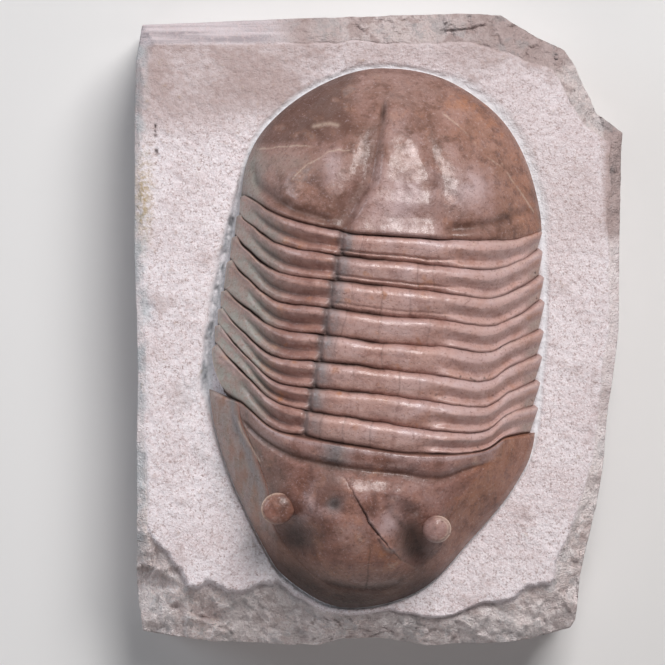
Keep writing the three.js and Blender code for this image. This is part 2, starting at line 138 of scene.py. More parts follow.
class Grain:
    """Smooth seeded noise in space, about -1 to 1.

    The lattice is turned and moved away from the origin, so that its planes never show.
    """

    TURN = 0.6
    ORIGIN = 1000.37
    LAYER_STEP = (7.1, -3.7)

    def __init__(self, seed: int, side: int = 48) -> None:
        """Fills a lattice of random values that repeats in all directions."""
        self.side = side
        self.lattice = np.random.default_rng(seed).uniform(-1, 1, (side,) * 3)

    def single(self, x: Array, y: Array, z: Array, size: float) -> Array:
        """One layer of noise.

        Args:
            x, y, z: points.
            size: width of the lumps.

        Returns:
            Noise of about -1 to 1.
        """
        c, s = math.cos(self.TURN), math.sin(self.TURN)
        spots = []
        shares = []
        for axis in (x * c - y * s, x * s + y * c, z):
            place = np.asarray(axis, float) / size + self.ORIGIN
            whole = np.floor(place)
            share = place - whole
            spots.append(whole.astype(int) % self.side)
            shares.append(share * share * (3 - 2 * share))
        result = 0
        for corner in range(8):
            picks = []
            weight = 1
            for axis in range(3):
                up = (corner >> axis) & 1
                picks.append((spots[axis] + up) % self.side)
                weight = weight * (shares[axis] if up else 1 - shares[axis])
            result += weight * self.lattice[tuple(picks)]
        return result

    def layers(self, x: Array, y: Array, z: Array, size: float, count: int = 4, gain: float = 0.5) -> Array:
        """Several layers, each half the size of the one before.

        Args:
            x, y, z: points.
            size: width of the largest lumps.
            count: how many layers.
            gain: strength of each layer against the one before.

        Returns:
            Noise of about -1 to 1.
        """
        total = 0
        strength = 1.0
        for layer in range(count):
            aside = self.LAYER_STEP[0] * layer, self.LAYER_STEP[1] * layer
            total += strength * self.single(x + aside[0], y + aside[1], z, size)
            strength *= gain
            size /= 2
        return total


class Facets:
    """Flat tilted facets with sharp edges, like a broken surface."""

    SIDE = 61
    LEVEL = 0.5
    TILT = 0.8

    def __init__(self, seed: int, size: float) -> None:
        """Draws a repeating table of facets: place, height and tilt."""
        self.size = size
        self.table = np.random.default_rng(seed).uniform(-1, 1, (self.SIDE, self.SIDE, 5))

    def __call__(self, x: Array, y: Array) -> Array:
        """Reads the facet nearest to each place.

        Args:
            x, y: places.

        Returns:
            Its height, about -1 to 1.
        """
        across, along = x / self.size, y / self.size
        column, row = np.floor(across).astype(int), np.floor(along).astype(int)
        nearest = np.full(np.shape(x), np.inf)
        height = np.zeros(np.shape(x))
        for i in (-1, 0, 1):
            for j in (-1, 0, 1):
                facet = self.table[(column + i) % self.SIDE, (row + j) % self.SIDE]
                dx = across - (column + i + 0.5 + 0.5 * facet[..., 0])
                dy = along - (row + j + 0.5 + 0.5 * facet[..., 1])
                gap = np.hypot(dx, dy)
                level = self.LEVEL * facet[..., 2] + self.TILT * (facet[..., 3] * dx + facet[..., 4] * dy)
                height = np.where(gap < nearest, level, height)
                nearest = np.minimum(gap, nearest)
        return height


def line_gap(p: Array, q: Array, points: Sequence[Point]) -> tuple[Array, Array]:
    """Distance from a line of straight stretches, and which side of it a place is on.

    Args:
        p, q: places.
        points: corners of the line.

    Returns:
        The distance, and 1 to the left of the line's run or -1 to the right.
    """
    best = np.full(np.shape(p), np.inf)
    side = np.ones(np.shape(p))
    for (ax, ay), (bx, by) in zip(points, points[1:]):
        dx, dy = bx - ax, by - ay
        share = np.clip(((p - ax) * dx + (q - ay) * dy) / (dx * dx + dy * dy), 0, 1)
        gap = np.hypot(p - ax - share * dx, q - ay - share * dy)
        nearer = gap < best
        best = np.where(nearer, gap, best)
        side = np.where(nearer, np.sign(dx * (q - ay) - dy * (p - ax)), side)
    return best, side


def stroke(p: Array, q: Array, points: Sequence[Point], width: float) -> Array:
    """A soft line of height 1 along straight stretches."""
    return hump(line_gap(p, q, points)[0], 0, width)


@dataclass(frozen=True)
class Spot:
    """A soft oval patch: its middle, its half widths and its strength."""

    p: float
    q: float
    wide: float
    long: float
    strength: float = 1.0

    def __call__(self, p: Array, q: Array) -> Array:
        """Strength of the patch at each place."""
        return self.strength * hump(np.hypot((p - self.p) / self.wide, (q - self.q) / self.long), 0, 1)


def patches(spots: Sequence[Spot], p: Array, q: Array) -> Array:
    """Sum of several spots."""
    return sum(spot(p, q) for spot in spots)


# ---------------------------------------------------------------- the animal's frame and outline


@dataclass
class Back:
    """The animal's margin and the smooth arch of its back.

    The margin stands edge above the face, and the arch rises by dome above it. The arch falls off by one
    power across the animal and by another along it. Plates are plate thick.
    """

    place: Point = (-1.4, -1.2)
    turn: float = math.radians(-3)
    dome: float = 13.4
    edge: float = 1.3
    plate: float = 1.6
    roll: float = 0.9
    roll_start: float = 0.97
    across: float = 1.45
    along: float = 3.1
    middle: Point = (1.2, 0.0)
    steps: int = 1440
    margin: tuple[Point, ...] = (
        (1.6, 40.6), (-5.1, 39.5), (-12.1, 35.7), (-17.4, 30.5), (-19.8, 25.3), (-20.4, 19.6),
        (-21.3, 14), (-22.4, 6.5), (-23.2, 0), (-23.7, -6), (-23.3, -10.8), (-21.7, -16.9),
        (-18.8, -23.8), (-14, -32.4), (-10.6, -36.6), (-3.5, -40.4), (3.9, -39.9), (10.9, -36.5),
        (16.9, -29.4), (21.2, -23.9), (23.6, -19.9), (25.1, -16.4), (25.75, -11.5), (26.1, 0),
        (26, 6.9), (25.3, 14.4), (24.5, 21), (21.7, 28.8), (17.1, 34.8), (9.5, 39.3),
    )
    face: float = field(init=False)
    angles: Array = field(init=False)
    radii: Array = field(init=False)

    def __post_init__(self) -> None:
        """Reads the face's height off the frame and walks the margin once."""
        self.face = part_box("pygidium")[0].z / MM - self.edge + self.plate
        points = np.array([self.margin[-1], *self.margin, *self.margin[:2]])
        u = (1 + np.arange(self.steps) / self.steps * len(self.margin)) / (len(points) - 1)
        p = spline(points[:, 0], u) - self.middle[0]
        q = spline(points[:, 1], u) - self.middle[1]
        order = np.argsort(np.arctan2(q, p))
        self.angles = np.arctan2(q, p)[order]
        self.radii = np.hypot(p, q)[order]

    def radius(self, angle: Array) -> Array:
        """Distance from the body's middle to the margin."""
        return np.interp(angle, self.angles, self.radii, period=TAU)

    def angle(self, p: Array, q: Array) -> Array:
        """Direction of a place from the body's middle."""
        return np.arctan2(q - self.middle[1], p - self.middle[0])

    def outward(self, p: Array, q: Array) -> Array:
        """How far out a place lies: 0 at the middle, 1 at the margin."""
        reach = np.hypot(p - self.middle[0], q - self.middle[1])
        return reach / self.radius(self.angle(p, q))

    def margin_point(self, angle: Array) -> tuple[Array, Array]:
        """Point of the margin in a direction."""
        reach = self.radius(angle)
        return self.middle[0] + reach * np.cos(angle), self.middle[1] + reach * np.sin(angle)

    def arch(self, p: Array, q: Array) -> Array:
        """Height of the smooth back, rolled down at the margin.

        Args:
            p, q: places in the animal's frame.

        Returns:
            z in millimetres.
        """
        out = self.outward(p, q)
        power = between(self.across, self.along, np.sin(self.angle(p, q)) ** 2)
        dome = self.dome * np.cos(math.pi / 2 * np.minimum(out, 1) ** power)
        past = np.clip((out - self.roll_start) / (1 - self.roll_start), 0, 1.4)
        return self.face + self.edge + dome - self.roll * past ** 2

    def lay(self, p: Array, q: Array, height: Array, masks: dict["Paint", Array]) -> "Grid":
        """A sheet at some height above the arch."""
        return Grid(*self.to_block(p, q), self.arch(p, q) + height, masks)

    def midline(self, q: Array) -> Array:
        """p of the midline, which swings a little at the head."""
        return between(0.4, 1.95, ease(q, -34, 12))

    def to_block(self, p: Array, q: Array) -> tuple[Array, Array]:
        """Turns a place of the animal into x and y on the block."""
        c, s = math.cos(self.turn), math.sin(self.turn)
        return self.place[0] + p * c - q * s, self.place[1] + p * s + q * c

    def from_block(self, x: Array, y: Array) -> tuple[Array, Array]:
        """Turns places on the block into places of the animal.

        Args:
            x, y: places on the block.

        Returns:
            p and q.
        """
        c, s = math.cos(self.turn), math.sin(self.turn)
        dx, dy = x - self.place[0], y - self.place[1]
        return dx * c + dy * s, dy * c - dx * s


@dataclass
class Seams:
    """The lines where the plates of the back meet, from the head (0) to the tail shield (8)."""

    back: Back
    bends: Point = (-13.9, 17.5)
    shoulders: Point = (-18.8, 21.3)
    left_furrow: float = -4.6
    left_lean: float = 0.15
    left_end: float = 15.0
    right_furrow: float = 10.9
    right_lean: float = 0.13
    stations: tuple[tuple[float, ...], ...] = (
        (-8.9, -10.55, -14.1, -15.15, -16.3, -16.8, -15.95, -13.65, -12.9),
        (-1.9, -5.95, -9.9, -11.3, -12.4, -13.2, -13.1, -10.4, -8.9),
        (0.9, -3.1, -7.1, -7.9, -8.3, -9, -9.4, -7.15, -5.1),
        (3.4, -0.2, -3.5, -3.9, -4.5, -5.1, -5.65, -3.25, -1.2),
        (6.1, 3.65, 0.7, 0.1, -0.7, -0.8, -1.3, 0.5, 2.6),
        (10.8, 8.05, 4.7, 4.1, 3.3, 3.1, 2.55, 4.1, 7),
        (14.4, 12.2, 9, 8.2, 7.7, 7.2, 6.7, 8.2, 10.7),
        (17.6, 16.1, 13.2, 11.9, 11.6, 11.1, 11.1, 12.3, 14.6),
        (20.5, 20, 17.4, 15.5, 15.3, 15.2, 15.4, 15.9, 17.4),
    )

    def tip(self, side: int, q: float) -> float:
        """Walks to the margin in short steps.

        Args:
            side: -1 left, 1 right.
            q: place along the animal.

        Returns:
            p of the margin at q.
        """
        start, steps, share = 24.0, 12, 0.1
        p = side * start
        for _ in range(steps):
            edge, height = self.back.margin_point(self.back.angle(p, q))
            p = float(edge + (q - height) * share * side)
        return p

    def across(self, k: int) -> list[float]:
        """Places of a seam's nine stations across the animal.

        Args:
            k: the seam.

        Returns:
            Their p, from the left tip to the right.
        """
        q = self.stations[k]
        left_furrow = self.left_furrow - self.left_lean * (self.left_end - q[3])
        right_furrow = self.right_furrow - self.right_lean * max(0.0, -q[5])
        left = [self.tip(-1, q[0]), self.shoulders[0], self.bends[0], left_furrow]
        right = [right_furrow, self.bends[1], self.shoulders[1], self.tip(1, q[8])]
        return [*left, float(self.back.midline(q[4])), *right]

    def point(self, k: int, u: Array) -> tuple[Array, Array]:
        """Point of seam k at u, 0 at the left tip and 1 at the right."""
        return spline(self.across(k), u), spline(self.stations[k], u)

    def q_at(self, k: int, p: Array) -> Array:
        """q of seam k at a given p."""
        line_p, line_q = self.point(k, np.linspace(0, 1, 241))
        return np.interp(p, line_p, line_q)


# ---------------------------------------------------------------- meshes


class Paint(Enum):
    """Masks that the geometry hands to the finishes, by the name of their mesh attribute. Besides colour,
    several carry painted light: painted shade in seams, creases, furrows and hollows, painted sheen and
    highlights on raised parts, and painted glints.
    """

    # grime in seams, pits and cracks, together with painted shade in creases, furrows, hollows, under
    # ledges and on faces turned from the light
    DIRT = "dirt"
    # pale bloom on the shell, together with painted sheen and highlights on raised and lit parts
    HAZE = "haze"
    OLIVE = "olive"
    # pale veins, rims and crescents, together with painted glints on the thoracic ridges
    VEIN = "vein"
    RUST = "rust"
    INK = "ink"
    BREAK = "broken"
    GROOVE = "groove"
    TAN = "tan"
    BAND = "band"
    BORDER = "border"
    # random lighter and darker tone, together with painted highlights on ridges and painted shade in
    # furrows, hollows and on the head's front
    TONE = "tone"


@dataclass
class Grid:
    """A sheet of points in rows and columns, with a mask value of each kind at every point."""

    x: Array
    y: Array
    z: Array
    masks: dict[Paint, Array]

    def rim(self) -> Array:
        """Walks the border once round.

        Returns:
            Flat indices of its points.
        """
        rows, columns = self.x.shape
        index = np.arange(rows * columns).reshape(rows, columns)
        return np.concatenate([index[0, :-1], index[:-1, -1], index[-1, :0:-1], index[:0:-1, 0]])

    def quads(self) -> Array:
        """Joins neighbouring points.

        Returns:
            Four point numbers per face, in turn as seen from above.
        """
        rows, columns = self.x.shape
        index = np.arange(rows * columns).reshape(rows, columns)
        corners = index[:-1, :-1], index[:-1, 1:], index[1:, 1:], index[1:, :-1]
        return np.stack([c.ravel() for c in corners], 1)

    def points(self) -> Array:
        """All points as rows of x, y, z."""
        return np.stack([self.x.ravel(), self.y.ravel(), self.z.ravel()], 1)


def mesh_piece(name: str, points: Array, faces: list, masks: dict[Paint, Array]) -> bpy.types.Object:
    """Makes a smooth mesh object and stores its masks.

    Args:
        name: the piece's name.
        points: rows of x, y, z in millimetres.
        faces: tuples or arrays of point numbers, seen from outside.
        masks: one value per point and kind.

    Returns:
        The new object, linked to the scene.
    """
    mesh = bpy.data.meshes.new(name)
    mesh.from_pydata((points * MM).tolist(), [], faces)
    mesh.polygons.foreach_set("use_smooth", np.ones(len(mesh.polygons), bool))
    for kind, values in masks.items():
        store = mesh.attributes.new(kind.value, "FLOAT", "POINT")
        store.data.foreach_set("value", np.ascontiguousarray(values, np.float32))
    mesh.validate()
    mesh.update()
    piece = bpy.data.objects.new(name, mesh)
    bpy.context.scene.collection.objects.link(piece)
    log.info("%s: %d points, %d faces", name, len(mesh.vertices), len(mesh.polygons))
    return piece


def strip_underside(grid: Grid, foot: float) -> tuple[Array, list, Array]:
    """Joins the two long borders of a narrow plate underneath.

    Args:
        grid: the outer surface.
        foot: how far the rim reaches below its border.

    Returns:
        The new points, the new faces, and the border points whose masks the new points take.
    """
    rows, columns = grid.x.shape
    front = np.arange(columns)
    hind = (rows - 1) * columns + front
    first = rows * columns + front
    second = first + columns
    faces = []
    for i in range(columns - 1):
        faces.append((first[i], second[i], second[i + 1], first[i + 1]))
        faces.append((first[i], first[i + 1], front[i + 1], front[i]))
        faces.append((second[i + 1], second[i], hind[i], hind[i + 1]))
    left = np.arange(rows) * columns
    right = left + columns - 1
    faces.append((first[0], *left, second[0]))
    faces.append((second[-1], *right[::-1], first[-1]))
    border = np.concatenate([front, hind])
    return grid.points()[border] - (0, 0, foot), faces, border


def plate_underside(grid: Grid, foot: float) -> tuple[Array, list, Array]:
    """Closes a broad plate with an upright rim and a fan underneath.

    Args:
        grid: the outer surface.
        foot: how far the rim reaches below its border.

    Returns:
        The new points, the new faces, and the border points whose masks the new points take.
    """
    ring = grid.rim()
    below = grid.points()[ring] - (0, 0, foot)
    centre = (*below[:, :2].mean(0), below[:, 2].min())
    count, n = grid.x.size, len(ring)
    faces = []
    for i in range(n):
        j = (i + 1) % n
        faces.append((ring[i], count + i, count + j, ring[j]))
        faces.append((count + i, count + n, count + j))
    return np.vstack([below, centre]), faces, np.append(ring, ring[0])


def closed_plate(name: str, grid: Grid, foot: float, as_strip: bool = False) -> bpy.types.Object:
    """Closes a sheet into a body with an upright rim and a plain hidden underside.

    Args:
        name: the piece's name.
        grid: the outer surface.
        foot: how far the rim reaches below the sheet's border.
        as_strip: joins the two long borders underneath, for a long narrow plate.

    Returns:
        The finished object.
    """
    below, faces, border = (strip_underside if as_strip else plate_underside)(grid, foot)
    masks = {}
    for kind, values in grid.masks.items():
        masks[kind] = np.append(values.ravel(), values.ravel()[border])
    return mesh_piece(name, np.vstack([grid.points(), below]), grid.quads().tolist() + faces, masks)


def ring_faces(rings: int, spokes: int, turned: bool = False) -> list:
    """Joins closed rings of points, each to the next.

    Args:
        rings: how many rings there are.
        spokes: points in each.
        turned: winds the faces the other way.

    Returns:
        Four point numbers per face.
    """
    index = np.arange(rings * spokes).reshape(rings, spokes)
    after = np.roll(index, -1, 1)
    corners = index[:-1], after[:-1], after[1:], index[1:]
    if turned:
        corners = corners[0], *corners[:0:-1]
    return np.stack([corner.ravel() for corner in corners], 1).tolist()


# ---------------------------------------------------------------- shader building


Feed = Union[float, Colour, "Wire"]


class Wire:
    """An output socket that can be reckoned with: every operator adds its Math node."""

    def __init__(self, graph: "Graph", socket: bpy.types.NodeSocket) -> None:
        """Keeps the socket and the graph that it belongs to."""
        self.graph = graph
        self.socket = socket

    def __add__(self, other: Feed) -> "Wire":
        """Sum."""
        return self.graph.math("ADD", self, other)

    def __radd__(self, other: Feed) -> "Wire":
        """Sum, from the right."""
        return self.graph.math("ADD", other, self)

    def __sub__(self, other: Feed) -> "Wire":
        """Difference."""
        return self.graph.math("SUBTRACT", self, other)

    def __rsub__(self, other: Feed) -> "Wire":
        """Difference, from the right."""
        return self.graph.math("SUBTRACT", other, self)

    def __mul__(self, other: Feed) -> "Wire":
        """Product."""
        return self.graph.math("MULTIPLY", self, other)

    def __rmul__(self, other: Feed) -> "Wire":
        """Product, from the right."""
        return self.graph.math("MULTIPLY", other, self)

    def clamp(self) -> "Wire":
        """The value held between 0 and 1."""
        return self.graph.math("ADD", self, 0.0, clamped=True)

    def over(self, low: float, high: float) -> "Wire":
        """Smooth step from 0 to 1.

        Args:
            low, high: the values at which it starts and ends.

        Returns:
            The step.
        """
        settings = {"interpolation_type": "SMOOTHSTEP"}
        feeds = {"Value": self, "From Min": low, "From Max": high}
        return self.graph.node("ShaderNodeMapRange", settings, feeds, "Result")


class Graph:
    """The node tree of one material."""

    def __init__(self, name: str) -> None:
        """Starts an empty material.

        Args:
            name: the material's name.
        """
        self.material = bpy.data.materials.new(name)
        self.material.use_nodes = True
        self.tree = self.material.node_tree
        self.tree.nodes.clear()
        self.space = self.node("ShaderNodeTexCoord", {}, {}, "Object")

    def node(self, kind: str, settings: dict[str, Any], feeds: dict[Any, Feed],
             out: Union[str, int] = 0) -> Wire:
        """Adds any node.

        Args:
            kind: the node's type.
            settings: its properties, set first; "stops" are a ramp's places and colours.
            feeds: a value or wire for each input, by name or number.
            out: name or number of the output to hand back.

        Returns:
            The output as a wire.
        """
        made = self.tree.nodes.new(kind)
        for key, value in settings.items():
            if key == "stops":
                self.set_stops(made.color_ramp, value)
            else:
                setattr(made, key, value)
        for key, value in feeds.items():
            socket = made.inputs[key]
            if isinstance(value, Wire):
                self.tree.links.new(value.socket, socket)
            elif isinstance(value, tuple) and len(socket.default_value) == 4:
                socket.default_value = (*value, 1.0)
            else:
                socket.default_value = value
        return Wire(self, made.outputs[out])

    @staticmethod
    def set_stops(ramp: bpy.types.ColorRamp, stops: Sequence[tuple[float, Colour]]) -> None:
        """Gives a colour ramp its stops.

        Args:
            ramp: the ramp of a new node.
            stops: places and colours in order.
        """
        while len(ramp.elements) < len(stops):
            ramp.elements.new(0.5)
        for element, (place, colour) in zip(ramp.elements, stops):
            element.position = place
            element.color = (*colour, 1.0)

    def math(self, operation: str, a: Feed, b: Feed, clamped: bool = False) -> Wire:
        """One Math node."""
        return self.node("ShaderNodeMath", {"operation": operation, "use_clamp": clamped}, {0: a, 1: b})

    def mix(self, factor: Feed, a: Feed, b: Feed) -> Wire:
        """A colour mixed from a to b."""
        settings = {"data_type": "RGBA", "clamp_factor": True}
        return self.node("ShaderNodeMix", settings, {0: factor, 6: a, 7: b}, 2)

    def mask(self, kind: Paint) -> Wire:
        """A mask stored on the mesh."""
        return self.node("ShaderNodeAttribute", {"attribute_name": kind.value}, {}, "Fac")

    def noise(self, scale: float, detail: float = 4.0, rough: float = 0.55, warp: float = 0.0) -> Wire:
        """Noise in space.

        Args:
            scale: lumps per metre.
            detail: how many finer layers it has.
            rough: strength of each layer against the one before.
            warp: how far the lumps are pulled about.

        Returns:
            The noise, about 0.5 on average.
        """
        feeds = {"Vector": self.space, "Scale": scale, "Detail": detail}
        feeds.update({"Roughness": rough, "Distortion": warp})
        return self.node("ShaderNodeTexNoise", {}, feeds, "Fac")

    def cells(self, scale: float) -> Wire:
        """Distance to scattered points in space."""
        return self.node("ShaderNodeTexVoronoi", {}, {"Vector": self.space, "Scale": scale}, "Distance")

    def ramp(self, value: Wire, stops: Sequence[tuple[float, Colour]]) -> Wire:
        """Colours picked by a value."""
        return self.node("ShaderNodeValToRGB", {"stops": stops}, {"Fac": value}, "Color")

    def bump(self, height: Wire, strength: float, distance: float) -> Wire:
        """Fine relief for the Normal socket."""
        feeds = {"Height": height, "Strength": strength, "Distance": distance}
        return self.node("ShaderNodeBump", {}, feeds, "Normal")

    def coats(self, body: Wire, layers: Sequence[tuple[Feed, Feed]]) -> Wire:
        """Lays colours over one another.

        Args:
            body: the first colour.
            layers: how much of each further colour, and the colour.

        Returns:
            The last mix.
        """
        for share, colour in layers:
            body = self.mix(share, body, colour)
        return body

    def finish(self, feeds: dict[str, Feed]) -> bpy.types.Material:
        """Closes the tree with a surface shader.

        Args:
            feeds: a value or wire for each of the shader's sockets.

        Returns:
            The finished material.
        """
        shader = self.node("ShaderNodeBsdfPrincipled", {}, feeds, "BSDF")
        output = self.tree.nodes.new("ShaderNodeOutputMaterial")
        self.tree.links.new(shader.socket, output.inputs["Surface"])
        return self.material


# ---------------------------------------------------------------- finishes


@dataclass(frozen=True)
class ShellFinish:
    """Brown calcite shell with a waxy sheen, mottled and hazed, with painted highlights and sheen on its
    ridges and painted shade in its furrows.
    """

    name: str
    brown: Colour
    umber: Colour
    rose: Colour
    # pale bloom, also used for painted sheen and highlights
    haze: Colour = (0.6, 0.46, 0.47)
    olive: Colour = (0.34, 0.325, 0.285)
    rust: Colour = (0.4, 0.165, 0.08)
    ink: Colour = (0.23, 0.225, 0.235)
    # pale vein colour, also used for painted glints
    vein: Colour = (0.66, 0.5, 0.4)
    # dark brown of grime and of painted shade
    dirt: Colour = (0.045, 0.025, 0.02)
    roughness: float = 0.38
    specular: float = 0.42
    coat_roughness: float = 0.16
    bump: tuple[float, float] = (0.55, 0.0002)

    def material(self) -> bpy.types.Material:
        """Builds the material.

        Returns:
            Colour from three scales of mottling and the painted masks, which also lay painted highlights,
            sheen and shade, with fine pits and scratches.
        """
        g = Graph(self.name)
        broad = g.noise(170, 4, 0.6, 0.6)
        mottle = g.noise(620, 5, 0.65)
        fleck = g.noise(2300, 4, 0.7)
        streak = g.noise(1050, 6, 0.72, 1.2)
        tone, dirt = g.mask(Paint.TONE), g.mask(Paint.DIRT)
        first = g.ramp(broad, ((0.34, self.umber), (0.5, self.brown), (0.68, self.rose)))
        body = g.coats(first, (
            (mottle.over(0.35, 0.7) * 0.5, self.rose),
            ((1 - mottle).over(0.5, 0.66) * 0.55, self.umber),
            # tone mask: random lighter and darker tone, with painted highlights towards rose and painted
            # shade towards umber
            ((tone * 0.8).clamp(), self.rose),
            ((tone * -0.8).clamp(), self.umber),
            (g.mask(Paint.RUST) * mottle.over(0.28, 0.6), self.rust),
            (g.mask(Paint.OLIVE), g.mix(mottle.over(0.4, 0.65) * 0.5, self.olive, self.brown)),
            # pale bloom and painted sheen
            ((g.mask(Paint.HAZE) * (0.1 + mottle + 0.5 * streak)).clamp(), self.haze),
            (g.mask(Paint.INK), self.ink),
            # pale veins, with painted glints
            (g.mask(Paint.VEIN), self.vein),
            (streak.over(0.54, 0.68) * 0.5, self.umber),
            ((1 - streak).over(0.56, 0.7) * 0.3, self.rose),
            (fleck.over(0.56, 0.66) * 0.55, self.umber),
            ((1 - fleck).over(0.56, 0.68) * 0.3, self.haze),
            # grime and painted shade
            ((dirt * (0.5 + 0.5 * mottle + 0.4 * streak)).clamp(), self.dirt),
        ))
        relief = 0.6 * fleck + 0.4 * mottle + 0.8 * streak - 0.6 * g.cells(1500).over(0.22, 0.05)
        return g.finish({
            "Base Color": body,
            "Roughness": self.roughness + 0.2 * dirt + 0.25 * (streak - 0.5) + 0.2 * (fleck - 0.5),
            "Normal": g.bump(relief, *self.bump),
            "Specular IOR Level": self.specular,
            "Coat Weight": (0.08 + 0.42 * mottle.over(0.36, 0.62)) * (1 - dirt),
            "Coat Roughness": self.coat_roughness,
        })


@dataclass(frozen=True)
class LimestoneFinish:
    """Pale limestone: pecked white where it was prepared, grey and brown where it broke."""

    name: str = "limestone"
    pale: Colour = (0.86, 0.785, 0.815)
    rosy: Colour = (0.66, 0.535, 0.54)
    speck: Colour = (0.4, 0.31, 0.3)
    white: Colour = (0.95, 0.91, 0.93)
    grey: Colour = (0.58, 0.54, 0.52)
    earth: Colour = (0.98, 0.83, 0.8)
    blush: Colour = (1.0, 0.92, 0.91)
    tan: Colour = (0.4, 0.3, 0.285)
    umber: Colour = (0.52, 0.4, 0.385)
    band: Colour = (0.6, 0.52, 0.54)
    lamina: Colour = (0.3, 0.25, 0.265)
    chalk: Colour = (0.84, 0.84, 0.875)
    border: Colour = (0.52, 0.55, 0.575)
    # dark blue-grey, also used for painted shadow beside the animal's left side
    ink: Colour = (0.2, 0.225, 0.25)
    ochre: Colour = (0.45, 0.33, 0.16)
    # dark of grime and of painted shadow on the broken rim
    dirt: Colour = (0.1, 0.085, 0.085)
    roughness: float = 0.86
    specular: float = 0.3
    bump: tuple[float, float] = (0.85, 0.0003)

    def material(self) -> bpy.types.Material:
        """Builds the material.

        Returns:
            Speckled stone whose tints follow the painted masks, with a pecked surface; the masks also lay
            painted shadow beside the animal's left side and painted shade on the broken rim.
        """
        g = Graph(self.name)
        broad = g.noise(110, 4, 0.6)
        grain = g.noise(1300, 5, 0.7)
        fine = g.noise(3300, 2, 0.75)
        lumps = g.noise(620, 5, 0.7)
        rough = g.mask(Paint.BREAK)
        pale = g.mix(broad.over(0.4, 0.68) * 0.5, self.pale, self.rosy)
        face = g.coats(pale, (
            (grain.over(0.46, 0.62) * 0.6, self.rosy),
            (fine.over(0.54, 0.62) * grain.over(0.42, 0.58) * 0.9, self.speck),
            ((1 - fine).over(0.54, 0.62) * 0.75, self.white),
        ))
        fresh = g.ramp(grain, ((0.33, self.grey), (0.45, self.earth), (0.58, self.blush)))
        broken = g.coats(fresh, (
            (broad.over(0.42, 0.56) * 0.75, self.blush),
            (fine.over(0.52, 0.62) * 0.6, self.rosy),
        ))
        stretched = g.node("ShaderNodeMapping", {}, {"Vector": g.space, "Scale": (0.12, 5.0, 2.0)})
        thin = {"Vector": stretched, "Scale": 260.0, "Detail": 5.0}
        lamina = g.node("ShaderNodeTexNoise", {}, thin, "Fac")
        sawn = g.mix(lamina.over(0.42, 0.62), self.band, self.lamina)
        sawn = g.mix(grain.over(0.45, 0.65) * 0.5, sawn, self.rosy)
        body = g.coats(g.mix(rough, face, broken), (
            ((g.mask(Paint.TAN) * (0.5 + 0.8 * grain)).clamp(), g.mix(fine, self.tan, self.umber)),
            (g.mask(Paint.BAND) * 0.85, sawn),
            (g.mask(Paint.BORDER) * (0.4 + 0.7 * grain), self.border),
            (g.mask(Paint.GROOVE) * (0.55 + 0.6 * grain), self.chalk),
            # painted shadow along the animal's left side, with dark pits
            ((g.mask(Paint.INK) * (0.35 + 0.9 * grain)).clamp(), self.ink),
            (g.mask(Paint.RUST) * grain.over(0.35, 0.6), self.ochre),
            # grime, with painted shadow under the broken edge and on low facets
            ((g.mask(Paint.DIRT) * (0.6 + 0.6 * grain)).clamp(), self.dirt),
        ))
        relief = (0.7 * grain - 0.8 * fine) * (1 + 1.6 * rough) + 3.0 * lumps * rough
        return g.finish({
            "Base Color": body,
            "Roughness": self.roughness + 0.2 * (grain - 0.5),
            "Normal": g.bump(relief, *self.bump),
            "Specular IOR Level": self.specular,
        })


# ---------------------------------------------------------------- the thorax


